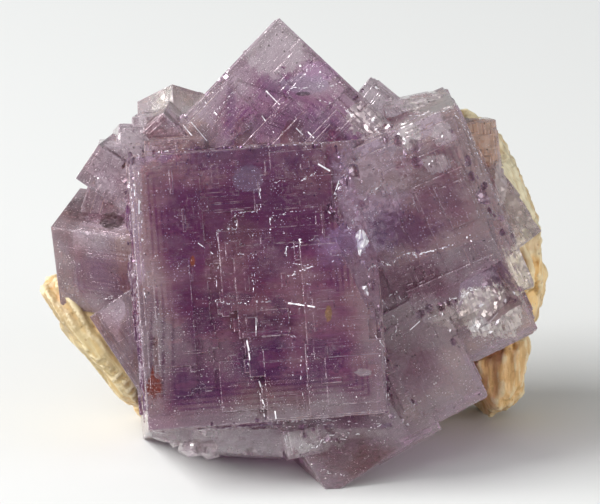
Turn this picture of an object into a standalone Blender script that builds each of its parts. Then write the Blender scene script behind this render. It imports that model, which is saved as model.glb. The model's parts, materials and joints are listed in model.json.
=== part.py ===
"""Fluorite and baryte specimen: purple cubes grown together on a mass of cream baryte blades."""

import math
import random

import bmesh
import bpy
from mathutils import Euler, Matrix, Vector

MM = 0.001

# The crystals are placed in a front frame: x to the right, y away from the
# front of the specimen and z up its face, in millimetres. An empty leans that
# frame back so that the specimen rests on its underside and on its baryte.
LEAN_DEG = -18.0
REST_SHIFT = (0.94, -14.32, 28.5)

# A crystal is given by its size (width, depth, height), the centre of its
# front face and its turn (pitch, spin, yaw) in degrees. A plate on its face
# is given by its left, right, bottom and top edge, and by its height.

# The main crystal, which faces the front nearly square on
MAIN_SIZE = (29.6, 22.0, 33.9)
MAIN_FRONT = (-5.2, 0.0, -4.0)
MAIN_TURN = (-4.0, -4.3, 3.0)
MAIN_PLATES = [
    (-0.1, 14.7, -18.1, -8.0, 0.95),
    (-1.9, 14.1, -11.4, -4.0, 0.85),
    (-2.8, 13.6, -6.6, 4.9, 0.70),
    (-4.5, 11.6, -3.0, 6.9, 0.52),
    (-2.0, 10.6, 4.0, 9.1, 0.44),
    (0.9, 10.1, 6.0, 12.9, 0.34),
    (2.6, 9.4, 12.2, 16.2, 0.25),
    (5.4, 13.2, -7.4, 4.4, 1.12),
    (5.1, 14.9, -17.0, -7.8, 1.30),
    (7.4, 14.5, -15.6, -9.6, 1.48),
    (-0.5, 3.5, -6.2, -3.2, 1.02),
    (-14.2, -6.1, -12.3, 15.4, 0.20),
    (-12.9, -8.2, -9.4, 3.8, 0.36),
    (-5.6, 0.6, -15.4, -9.1, 0.24),
]

# The crystal that stands on its corner above the main one
TOP_SIZE = (23.0, 17.0, 23.0)
TOP_FRONT = (-2.2, 6.5, 12.9)
TOP_TURN = (-5.0, 43.5, 0.0)
TOP_PLATES = [
    (-3.8, 10.9, -9.0, 10.3, 0.75),
    (-7.3, -2.0, 6.4, 10.9, 0.35),
    (-1.2, 10.2, -7.0, 9.2, 1.00),
    (-10.6, -5.0, -8.8, 1.2, 0.30),
    (1.6, 9.8, 2.0, 8.1, 1.25),
]

# The large crystal on the right, turned a quarter of the way to its corner
RIGHT_SIZE = (25.0, 15.5, 25.0)
RIGHT_FRONT = (12.7, 4.6, 2.0)
RIGHT_TURN = (9.0, -24.0, 5.0)
RIGHT_PLATES = [
    (-4.0, 11.6, -12.0, 11.2, 0.30),
    (0.6, 11.0, -11.0, 8.4, 0.55),
    (3.4, 10.2, -8.0, 5.2, 0.80),
    (-2.4, 9.4, -11.6, -6.4, 1.10),
    (6.0, 9.8, -1.6, 3.8, 1.00),
]

# The smaller crystals: name, size, centre of the front face, turn, and the
# faces that carry growth plates
SMALL_CRYSTALS = [
    ("left_crystal", (15.0, 9.4, 12.0), (-23.5, 9.6, -2.9), (31.5, 8.5, -25.5), ["front", "top", "left"]),
    ("left_low", (12.0, 12.0, 14.0), (-17.3, 6.4, -10.6), (3.0, -33.4, -6.0), ["front", "left"]),
    ("left_high", (8.6, 11.0, 5.2), (-22.9, 8.2, 8.8), (8.0, 35.0, -8.0), ["front", "top"]),
    ("left_shoulder", (6.0, 9.0, 6.4), (-24.2, 10.6, 5.2), (10.0, 20.0, -14.0), ["front", "top"]),
    ("left_ledge", (5.0, 10.0, 6.5), (-22.0, 9.6, 10.0), (4.0, -3.0, 4.0), ["front"]),
    ("left_tooth", (4.2, 9.0, 7.0), (-20.6, 10.8, 12.2), (-3.0, 2.0, 6.0), ["front"]),
    ("notch_tooth", (5.0, 9.0, 7.2), (-18.2, 11.4, 13.4), (5.0, -4.0, -5.0), ["front"]),
    ("dark_tooth", (6.6, 9.0, 3.6), (-15.9, 5.0, 13.6), (12.0, 47.0, -4.0), ["front"]),
    ("collar", (12.0, 9.0, 6.4), (-12.6, 3.6, 11.6), (-6.0, -3.0, 2.0), ["front", "top"]),
    ("far_left", (6.8, 6.8, 9.4), (-13.2, 15.4, 15.9), (-18.0, 13.0, 44.0), ["front"]),
    ("far_right", (7.0, 8.0, 6.0), (9.7, 13.6, 17.4), (-8.0, 40.0, 8.0), ["front"]),
    ("right_collar", (7.5, 9.0, 5.0), (14.6, 11.0, 16.4), (4.0, -12.0, 4.0), ["front"]),
    ("right_back", (9.0, 9.0, 13.0), (20.6, 12.2, 9.6), (3.0, -6.0, 6.0), ["front", "top"]),
    ("right_high_corner", (10.5, 9.0, 10.5), (22.8, 9.4, 3.5), (6.0, -38.0, 8.0), ["front", "right"]),
    ("right_low_corner", (13.0, 10.0, 10.0), (21.6, 8.4, -7.9), (4.0, -26.0, 6.0), ["front", "right"]),
    ("low_right", (17.0, 13.0, 15.0), (12.4, 5.6, -15.0), (4.0, -27.0, 5.0), ["front", "right", "under"]),
    ("low_ledge", (9.0, 12.0, 7.0), (12.0, 6.8, -21.2), (5.0, -30.0, 4.0), ["front", "under"]),
    ("foot", (12.6, 15.0, 14.4), (5.0, 3.0, -20.6), (-4.0, -32.5, 7.0), ["front", "left", "under"]),
    ("foot_plate", (4.4, 6.0, 3.6), (0.4, 2.0, -23.4), (-3.0, -12.0, 4.0), ["front"]),
    ("under_main", (11.6, 12.0, 7.6), (-7.6, 7.0, -21.2), (-5.0, -3.5, 3.0), ["front", "under"]),
    ("under_left", (9.0, 10.0, 6.0), (-13.4, 8.0, -21.0), (-4.0, -8.0, -4.0), ["under"]),
    ("back_high", (12.0, 10.0, 12.0), (-6.0, 17.0, 12.0), (10.0, 20.0, -12.0), ["back", "top"]),
    ("back_left", (11.0, 10.0, 11.0), (-18.0, 17.5, 1.0), (-6.0, 30.0, 20.0), ["back", "left"]),
    ("back_right", (12.0, 11.0, 12.0), (15.0, 17.0, 6.0), (8.0, -18.0, -10.0), ["back", "top"]),
]

# Growth plates: how deep a plate is rooted, how high the first one stands,
# how far each next one draws in and how much its height varies
PLATE_ROOT = 1.2
PLATE_HEIGHT = 0.28
PLATE_INSET = (0.03, 0.20)
PLATE_SPREAD = (0.8, 1.2)
PLATES_ON_A_FACE = 2

# Breaks and chips in the fluorite: name, size, centre and Euler turn
BREAKS = [
    ("cleaved_corner", (10.5, 8.0, 15.0), (9.5, -1.3, 9.6), (0, -4, 16)),
    ("cleaved_edge", (8.0, 8.0, 10.0), (10.6, -1.2, 1.0), (0, -30, 40)),
    ("cleaved_notch", (4.0, 5.0, 5.0), (6.4, -2.0, 13.8), (20, 30, 44)),
    ("main_chip", (4.0, 4.0, 2.4), (-20.6, 0.2, 13.4), (20, -30, 40)),
    ("tip_chip", (3.0, 3.0, 3.0), (-2.6, 5.6, 29.6), (30, 20, 40)),
    ("right_hollow", (7.0, 4.0, 8.0), (22.6, 6.0, -5.0), (10, -50, 30)),
]

# The body of the baryte, which its blades stand on, and the clearance that
# the fluorite keeps from all of it
MASS_SIZE = (45.0, 8.0, 33.0)
MASS_CENTRE = (2.4, 25.6, -3.4)
MASS_TURN = (0, -6, 2)
CLEARANCE = 0.3

# Baryte blades: the chamfer of the rim, the cut of the corners as a share of
# the shorter edge, and how far a blade strays from its even place and size
BLADE_RIM = 0.42
CORNER_SHARE = (0.12, 0.40)
MASS_CORNER = 0.08
BLADE_STRAY = 0.35
LENGTH_SPREAD = (0.88, 1.06)
WIDTH_SPREAD = (0.72, 1.12)

# The fans of blades: name, number of blades, how far each one twists, then
# the first and the last blade, each by its centre, its Euler turn and its
# length, thickness and width
FANS = [
    ("left_tips", 5, 2.0,
     ((-24.1, 20.5, -10.0), (86, 58, 0), (20.0, 1.2, 13.0)),
     ((-25.9, 20.5, -11.5), (88, 52, 0), (22.5, 1.2, 13.0))),
    ("left_fan", 5, 2.0,
     ((-25.7, 20.5, -12.2), (87, 50, 0), (19.0, 1.2, 13.0)),
     ((-24.7, 21.5, -15.6), (90, 44, 0), (15.0, 1.1, 13.0))),
    ("crest_top", 3, 4.0,
     ((20.0, 21.0, 16.0), (86, 45, 0), (6.5, 1.3, 12.0)),
     ((24.4, 22.0, 13.2), (94, 60, 6), (8.0, 1.3, 12.0))),
    ("crest_high", 6, 7.0,
     ((23.4, 21.0, 9.0), (84, 60, 0), (15.0, 1.3, 13.0)),
     ((27.6, 22.5, 9.8), (98, 66, 8), (13.0, 1.2, 12.0))),
    ("crest_middle", 5, 8.0,
     ((26.0, 21.0, -1.2), (80, 84, 0), (10.0, 1.2, 14.0)),
     ((29.5, 22.5, -1.4), (100, 92, 10), (8.0, 1.2, 12.0))),
    ("crest_low", 5, 8.0,
     ((25.2, 24.0, -7.0), (80, 95, 0), (12.0, 1.4, 12.0)),
     ((29.6, 25.0, -5.4), (104, 100, 8), (8.0, 1.2, 11.0))),
    ("lobe", 8, 6.0,
     ((22.8, 26.0, -16.8), (86, 68, 0), (8.0, 1.4, 13.0)),
     ((27.2, 26.0, -14.8), (94, 106, 8), (10.0, 1.3, 13.0))),
    ("heel", 8, 12.0,
     ((-17.0, 28.5, -16.6), (10, 20, 56), (9.0, 1.8, 11.0)),
     ((12.0, 30.0, -17.0), (-10, -20, 118), (8.0, 1.8, 10.0))),
    ("back_low", 8, 15.0,
     ((-17.0, 30.0, -9.0), (0, 30, 50), (12.0, 1.8, 14.0)),
     ((19.0, 30.5, -10.0), (10, -24, 126), (12.0, 1.7, 13.0))),
    ("back_middle", 8, 17.0,
     ((-15.0, 30.0, -2.0), (10, 60, 64), (13.0, 1.8, 13.0)),
     ((19.0, 31.0, -1.0), (-12, -50, 118), (12.0, 1.7, 13.0))),
    ("back_high", 8, 15.0,
     ((-14.0, 29.0, 7.0), (0, 20, 54), (12.0, 1.8, 12.0)),
     ((18.0, 30.0, 8.0), (0, -30, 122), (11.0, 1.7, 12.0))),
    ("rim_high", 6, 18.0,
     ((-13.0, 25.5, 12.4), (10, 70, 80), (9.0, 1.8, 11.0)),
     ((16.0, 26.5, 12.0), (-10, 110, 100), (8.0, 1.8, 11.0))),
]

# The level ground under the specimen
GROUND_SIZE = (120.0, 120.0, 20.0)

# Points closer than this, in metres, are one point, and faces that differ by
# less than this angle are one face
MERGE = 0.000002
FLAT_DEG = 0.2

# Colours, as red, green, blue and alpha in linear light
FLUORITE_COLOUR = (0.19, 0.085, 0.15, 1.0)
BARYTE_COLOUR = (0.57, 0.45, 0.28, 1.0)

random.seed(41)


def clear_scene():
    """Remove every object so that the script can be run again."""
    for obj in list(bpy.data.objects):
        bpy.data.objects.remove(obj, do_unlink=True)


def new_collection(name):
    """Make a collection in the scene."""
    group = bpy.data.collections.new(name)
    bpy.context.scene.collection.children.link(group)
    return group


def new_material(name, colour, roughness):
    """Make a Principled material with plain values."""
    mat = bpy.data.materials.new(name)
    mat.use_nodes = True
    shader = mat.node_tree.nodes["Principled BSDF"]
    shader.inputs["Base Color"].default_value = colour
    shader.inputs["Roughness"].default_value = roughness
    shader.inputs["Metallic"].default_value = 0.0
    return mat


def euler(degrees):
    """Turn three angles in degrees into an Euler rotation."""
    return Euler([math.radians(angle) for angle in degrees])


def new_empty(name, place, rotation, parent):
    """Add an empty at a place in millimetres."""
    obj = bpy.data.objects.new(name, None)
    obj.empty_display_size = 5 * MM
    obj.location = Vector(place) * MM
    obj.rotation_euler = rotation
    obj.parent = parent
    part.objects.link(obj)
    return obj


def block(name, size, centre, turn, parent, group):
    """Add a cuboid of a size in millimetres, shown as wire: a tool for a Boolean."""
    mesh = bpy.data.meshes.new(name)
    bm = bmesh.new()
    bmesh.ops.create_cube(bm, size=1.0)
    bmesh.ops.scale(bm, vec=Vector(size) * MM, verts=bm.verts)
    bm.to_mesh(mesh)
    bm.free()
    obj = bpy.data.objects.new(name, mesh)
    obj.location = Vector(centre) * MM
    obj.rotation_euler = euler(turn)
    obj.parent = parent
    obj.hide_render = True
    obj.display_type = "WIRE"
    group.objects.link(obj)
    return obj


def chamfer(obj, test, offset):
    """Chamfer the edges of an object that pass a test."""
    bm = bmesh.new()
    bm.from_mesh(obj.data)
    edges = [edge for edge in bm.edges if test(*(vert.co for vert in edge.verts))]
    bmesh.ops.bevel(bm, geom=edges, offset=offset, segments=1, affect="EDGES")
    bm.to_mesh(obj.data)
    bm.free()


def blade(name, size, centre, turn, share, group, margin=0.0):
    """Add a flat plate with cut corners and a chamfered rim; margin swells it all round."""
    swollen = [edge + 2 * margin for edge in size]
    obj = block(name, swollen, centre, turn, lean, group)
    half = swollen[1] / 2 * MM
    chamfer(obj, lambda a, b: abs(a.y - b.y) > half, share * min(size[0], size[2]) * MM)
    chamfer(obj, lambda a, b: abs(a.y + b.y) > half, BLADE_RIM * MM)
    return obj


def turned(turn):
    """Give the rotation for a pitch, spin and yaw: spin comes first and yaw last."""
    pitch, spin, yaw = (math.radians(angle) for angle in turn)
    tilt = Matrix.Rotation(pitch, 3, "X") @ Matrix.Rotation(spin, 3, "Y")
    return Matrix.Rotation(yaw, 3, "Z") @ tilt


def crystal(name, size, front, turn):
    """Add a crystal on an empty of its own, which its plates are placed in too."""
    rotation = turned(turn)
    centre = Vector(front) + rotation @ Vector((0, size[1] / 2, 0))
    seat = new_empty(name + "_seat", centre, rotation.to_euler(), lean)
    return seat, block(name, size, (0, 0, 0), (0, 0, 0), seat, crystals)


def face_span(size, side):
    """Give the two edge lengths of one face, then the distance from centre to face."""
    width, depth, height = size
    if side in ("front", "back"):
        return width, height, depth / 2
    if side in ("top", "under"):
        return width, depth, height / 2
    return depth, height, width / 2


def plate(seat, size, side, edges, height):
    """Add one growth plate: a flat block that stands a little proud of a face."""
    left, right, bottom, top = edges
    wide, high = right - left, top - bottom
    across, up = (left + right) / 2, (bottom + top) / 2
    thick = PLATE_ROOT + height
    out = face_span(size, side)[2] + height - thick / 2
    placed = {
        "front": ((wide, thick, high), (across, -out, up)),
        "back": ((wide, thick, high), (across, out, up)),
        "top": ((wide, high, thick), (across, up, out)),
        "under": ((wide, high, thick), (across, up, -out)),
        "left": ((thick, wide, high), (-out, across, up)),
        "right": ((thick, wide, high), (out, across, up)),
    }
    box, centre = placed[side]
    return block(seat.name + "_plate", box, centre, (0, 0, 0), seat, crystals)


def grow_plates(seat, size, sides):
    """Cover faces with growth plates, each one smaller and higher than the last."""
    for side in sides:
        wide, high, reach = face_span(size, side)
        left, right, bottom, top = -wide / 2, wide / 2, -high / 2, high / 2
        for level in range(PLATES_ON_A_FACE):
            left += wide * random.uniform(*PLATE_INSET)
            right -= wide * random.uniform(*PLATE_INSET)
            bottom += high * random.uniform(*PLATE_INSET)
            top -= high * random.uniform(*PLATE_INSET)
            height = PLATE_HEIGHT * (level + 1) * random.uniform(*PLATE_SPREAD)
            plate(seat, size, side, (left, right, bottom, top), height)


def large_crystal(name, size, front, turn, plates, sides):
    """Add a crystal whose front plates are given one by one."""
    seat, body = crystal(name, size, front, turn)
    for left, right, bottom, top, height in plates:
        plate(seat, size, "front", (left, right, bottom, top), height)
    grow_plates(seat, size, sides)
    return body


def fan(name, count, twist, first, last):
    """Spread blades between the first and the last, and cut room for each one."""
    for i in range(count):
        t = i / (count - 1)
        place, turn, size = (Vector(a).lerp(Vector(b), t) for a, b in zip(first, last))
        place += Vector(random.uniform(-1, 1) * BLADE_STRAY for axis in range(3))
        turn += Vector(random.uniform(-1, 1) * twist for axis in range(3))
        size.x *= random.uniform(*LENGTH_SPREAD)
        size.z *= random.uniform(*WIDTH_SPREAD)
        share = random.uniform(*CORNER_SHARE)
        blade(f"{name}_{i}", size, place, turn, share, blades)
        blade(f"{name}_{i}_room", size, place, turn, share, cutters, CLEARANCE)


def boolean(obj, operation, tool):
    """Apply one exact Boolean with an object or with a whole collection."""
    mod = obj.modifiers.new(operation.title(), "BOOLEAN")
    mod.operation = operation
    mod.solver = "EXACT"
    if isinstance(tool, bpy.types.Collection):
        mod.operand_type = "COLLECTION"
        mod.collection = tool
    else:
        mod.object = tool
    bpy.context.view_layer.objects.active = obj
    bpy.ops.object.modifier_apply(modifier=mod.name)


def make_node(obj, mat):
    """Bake an object's placement into its mesh and make it a node of the part."""
    bpy.context.view_layer.update()
    obj.data.transform(obj.matrix_world)
    obj.parent = None
    obj.matrix_world = Matrix.Identity(4)
    for group in list(obj.users_collection):
        group.objects.unlink(obj)
    part.objects.link(obj)
    obj.data.materials.append(mat)
    obj.hide_render = False
    obj.display_type = "SOLID"


def bodies_of(bm):
    """Give the separate bodies of a mesh, smallest first, as lists of faces."""
    left = set(bm.faces)
    found = []
    while left:
        stack = [left.pop()]
        body = []
        while stack:
            face = stack.pop()
            body.append(face)
            shared = [edge for edge in face.edges if len(edge.link_faces) == 2]
            for other in {near for edge in shared for near in edge.link_faces} & left:
                left.remove(other)
                stack.append(other)
        found.append(body)
    return sorted(found, key=len)


def tidy(obj):
    """Keep the largest body, merge stray points and lay flat faces out plainly."""
    bm = bmesh.new()
    bm.from_mesh(obj.data)
    for body in bodies_of(bm)[:-1]:
        bmesh.ops.delete(bm, geom=body, context="FACES")
    bmesh.ops.remove_doubles(bm, verts=bm.verts, dist=MERGE)
    bmesh.ops.dissolve_limit(
        bm,
        angle_limit=math.radians(FLAT_DEG),
        use_dissolve_boundaries=False,
        verts=bm.verts,
        edges=bm.edges,
    )
    bmesh.ops.triangulate(bm, faces=bm.faces)
    bmesh.ops.recalc_face_normals(bm, faces=bm.faces)
    bm.to_mesh(obj.data)
    bm.free()
    obj.data.update()


def report(obj):
    """Print a node's number of triangles and its extent in millimetres."""
    points = [vert.co / MM for vert in obj.data.vertices]
    low = [round(min(point[axis] for point in points), 2) for axis in range(3)]
    high = [round(max(point[axis] for point in points), 2) for axis in range(3)]
    print(obj.name, len(obj.data.polygons), "triangles, from", low, "to", high)


clear_scene()
part = new_collection("part")
crystals = new_collection("crystals")
blades = new_collection("baryte blades")
cutters = new_collection("cutters")
lean = new_empty("lean", REST_SHIFT, euler((LEAN_DEG, 0, 0)), None)

# The fluorite crystals
fluorite = large_crystal("fluorite", MAIN_SIZE, MAIN_FRONT, MAIN_TURN, MAIN_PLATES, ["left", "under"])
large_crystal("top_crystal", TOP_SIZE, TOP_FRONT, TOP_TURN, TOP_PLATES, ["top", "left", "back"])
large_crystal("right_crystal", RIGHT_SIZE, RIGHT_FRONT, RIGHT_TURN, RIGHT_PLATES, ["top", "right"])
for name, size, front, turn, sides in SMALL_CRYSTALS:
    seat, body = crystal(name, size, front, turn)
    grow_plates(seat, size, sides)

# The baryte blades, its body, and the room that both take in the fluorite
for name, count, twist, first, last in FANS:
    fan(name, count, twist, first, last)
baryte = blade("baryte", MASS_SIZE, MASS_CENTRE, MASS_TURN, MASS_CORNER, blades)
blade("mass_room", MASS_SIZE, MASS_CENTRE, MASS_TURN, MASS_CORNER, cutters, CLEARANCE)

# The breaks, and the ground that the underside is level with
for name, size, centre, turn in BREAKS:
    block(name, size, centre, turn, lean, cutters)
ground_centre = (0, 0, -GROUND_SIZE[2] / 2)
ground = block("ground", GROUND_SIZE, ground_centre, (0, 0, 0), None, cutters)

# The crystals become one solid, less the breaks and the room for the baryte
make_node(fluorite, new_material("fluorite", FLUORITE_COLOUR, 0.12))
boolean(fluorite, "UNION", crystals)
boolean(fluorite, "DIFFERENCE", cutters)
tidy(fluorite)
report(fluorite)

# The blades become one solid, level at the ground
make_node(baryte, new_material("baryte", BARYTE_COLOUR, 0.6))
boolean(baryte, "UNION", blades)
boolean(baryte, "DIFFERENCE", ground)
tidy(baryte)
report(baryte)
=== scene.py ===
# %% [markdown]
# Fluorite and baryte specimen, dressed in Blender.
#
# The real thing is a fist of purple fluorite cubes that grew into each other
# on a mass of cream baryte blades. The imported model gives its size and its
# place. This lesson remodels the crystals with the fine growth steps that
# the model leaves out, and gives both minerals a surface of their own.

import json
import math
import random
from functools import partial

import bpy
import numpy as np
from mathutils import Euler, Matrix, Vector, bvhtree, kdtree, noise

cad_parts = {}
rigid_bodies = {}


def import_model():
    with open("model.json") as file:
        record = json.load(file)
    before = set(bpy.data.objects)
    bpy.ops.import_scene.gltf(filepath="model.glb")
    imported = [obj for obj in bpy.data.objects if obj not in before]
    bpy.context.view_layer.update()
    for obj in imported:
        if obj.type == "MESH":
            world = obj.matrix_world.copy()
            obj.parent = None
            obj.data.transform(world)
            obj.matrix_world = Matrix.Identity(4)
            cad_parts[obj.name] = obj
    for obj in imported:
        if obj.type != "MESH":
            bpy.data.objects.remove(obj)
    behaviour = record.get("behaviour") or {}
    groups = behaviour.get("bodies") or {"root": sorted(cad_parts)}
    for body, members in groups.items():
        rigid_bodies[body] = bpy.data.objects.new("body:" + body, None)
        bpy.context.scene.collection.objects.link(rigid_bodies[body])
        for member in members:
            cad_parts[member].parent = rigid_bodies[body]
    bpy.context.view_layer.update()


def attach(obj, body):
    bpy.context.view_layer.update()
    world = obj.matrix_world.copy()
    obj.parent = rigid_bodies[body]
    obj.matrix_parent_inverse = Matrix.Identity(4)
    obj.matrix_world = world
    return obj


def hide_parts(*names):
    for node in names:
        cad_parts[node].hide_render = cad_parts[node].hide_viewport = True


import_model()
MM = 0.001

# %% [markdown]
# Camera. The photograph looks down on the specimen a little, from about 18
# degrees above the table, with a long lens, so there is hardly any
# perspective. One matrix leans the frame that the crystals are placed in: x
# goes right, y away from the camera and z up, in millimetres.

# %% Camera and the leaning frame
LEAN_DEG = -18.0
REST_SHIFT = Vector((0.94, -14.32, 28.5))
CAMERA_MM = 985.0
SENSOR_MM = 36
LENS_MM = 480
lean = Matrix.Translation(REST_SHIFT * MM) @ Matrix.Rotation(math.radians(LEAN_DEG), 4, "X")

bpy.ops.object.select_all(action="DESELECT")
bpy.ops.object.camera_add(
    location=lean @ Vector((0, -CAMERA_MM * MM, 0)),
    rotation=(math.radians(90 + LEAN_DEG), 0, 0),
)
camera = bpy.context.object
camera.name = "camera"
camera.data.sensor_width = SENSOR_MM
camera.data.lens = LENS_MM
bpy.context.scene.camera = camera
print("camera at", [round(v, 4) for v in camera.location])

# %% [markdown]
# Helpers. Colours are picked as sRGB hex values, the way a paint program
# shows them, but shaders work in linear light, so one function converts
# them. Another adds a node of any kind and fills its inputs. A third applies
# a modifier, as its button in the modifier tab does.

# %% Colour, node and modifier helpers
def linear(hex_colour):
    """Turn an sRGB hex value into linear red, green, blue and alpha."""
    channels = [int(hex_colour[i : i + 2], 16) / 255 for i in (1, 3, 5)]
    return [c / 12.92 if c <= 0.04045 else ((c + 0.055) / 1.055) ** 2.4 for c in channels] + [1.0]


def feed(mat, socket, value):
    """Give an input a value, a hex colour or another node's output."""
    if isinstance(value, bpy.types.NodeSocket):
        mat.node_tree.links.new(value, socket)
    else:
        socket.default_value = linear(value) if isinstance(value, str) else value


# The setting that the second word of a node's kind goes to, as in "Math ADD"
MODES = {
    "Attribute": "attribute_name", "MapRange": "interpolation_type", "Math": "operation", "Mix": "data_type",
    "TexNoise": "noise_dimensions", "TexVoronoi": "voronoi_dimensions", "TexWhiteNoise": "noise_dimensions",
    "VectorMath": "operation",
}


def add_node(mat, kind, *inputs, **named):
    """Add a node, feed its inputs in order or by name, and give its first output."""
    kind, space, mode = kind.partition(" ")
    node = mat.node_tree.nodes.new("ShaderNode" + kind)
    if mode:
        setattr(node, MODES[kind], mode)
    for socket, value in zip([socket for socket in node.inputs if socket.enabled], inputs):
        feed(mat, socket, value)
    for name, value in named.items():
        feed(mat, node.inputs[name], value)
    return next(socket for socket in node.outputs if socket.enabled)


def new_material(name):
    """Make a material with a Principled shader."""
    mat = bpy.data.materials.new(name)
    mat.use_nodes = True
    return mat


def dress(obj, mat, inputs):
    """Feed the material's shader by the names of its inputs, and put it alone on an object."""
    for name, value in inputs.items():
        feed(mat, mat.node_tree.nodes["Principled BSDF"].inputs[name], value)
    obj.data.materials.clear()
    obj.data.materials.append(mat)


def select_only(*objects):
    """Select these objects alone and make the first one active."""
    bpy.ops.object.select_all(action="DESELECT")
    for obj in objects:
        obj.select_set(True)
    bpy.context.view_layer.objects.active = objects[0]


def apply_modifier(obj, name, kind, **settings):
    """Add a modifier, set it and apply it."""
    mod = obj.modifiers.new(name, kind)
    for setting, value in settings.items():
        setattr(mod, setting, value)
    select_only(obj)
    bpy.ops.object.modifier_apply(modifier=mod.name)


print("helpers ready")

# %% [markdown]
# The paper and the light. The specimen stands on white paper in soft
# daylight that comes from the upper left and a little from behind, so the
# shadow falls to the right and the thin crystal edges glow. A broad area
# light is the window, two weaker ones fill the front and the right, and a
# pale world lights the rest.

# %% Paper, window light and fill
PAPER_M = 6.0
PAPER_GAP_MM = 0.05
LIT_POINT = (0, 0, 0.02)
DAYLIGHT = (1.0, 0.985, 0.96)
WINDOW_AT = (-0.75, -0.1, 0.55)

bpy.ops.mesh.primitive_plane_add(size=PAPER_M, location=(0, 0, -PAPER_GAP_MM * MM))
paper = bpy.context.object
paper.name = "paper"
# Matt paper: pale and rough, with hardly any shine
paper_look = {"Base Color": "#dddfdf", "Roughness": 0.9, "Specular IOR Level": 0.2}
dress(paper, new_material("matt white paper"), paper_look)


def area_light(name, place, size, power, colour):
    """Add a soft light that faces the specimen."""
    bpy.ops.object.light_add(type="AREA", location=place)
    light = bpy.context.object
    light.name = name
    light.rotation_euler = (Vector(LIT_POINT) - Vector(place)).to_track_quat("-Z", "Y").to_euler()
    light.data.shape = "RECTANGLE"
    light.data.size, light.data.size_y = size
    light.data.energy = power
    light.data.color = colour


area_light("window", WINDOW_AT, (0.6, 0.6), 12.4, DAYLIGHT)
area_light("front fill", (-0.5, -0.75, 0.75), (0.7, 0.7), 3.3, DAYLIGHT)
area_light("right fill", (1.0, -0.6, 0.28), (0.6, 0.4), 4.8, (1.0, 0.98, 0.95))
world = bpy.data.worlds.new("pale room")
world.use_nodes = True
bpy.context.scene.world = world
world.node_tree.nodes["Background"].inputs["Color"].default_value = (0.95, 0.97, 1.0, 1.0)
world.node_tree.nodes["Background"].inputs["Strength"].default_value = 0.35
bpy.context.scene.view_settings.view_transform = "Standard"
bpy.context.scene.cycles.use_denoising = True
bpy.context.scene.cycles.max_bounces = 10
bpy.context.scene.cycles.transmission_bounces = 10
print("light set")

# %% [markdown]
# The fluorite crystals. Fluorite grows as cubes, and here 27 of them grew
# together at odd angles. Each is given by its width, depth and height, the
# middle of its front face, its turn (pitch, spin, yaw in degrees), the faces
# that show, and its tone: how purple, how hazy and how brown it is. Numbers
# are millimetres in the leaning frame.

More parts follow.
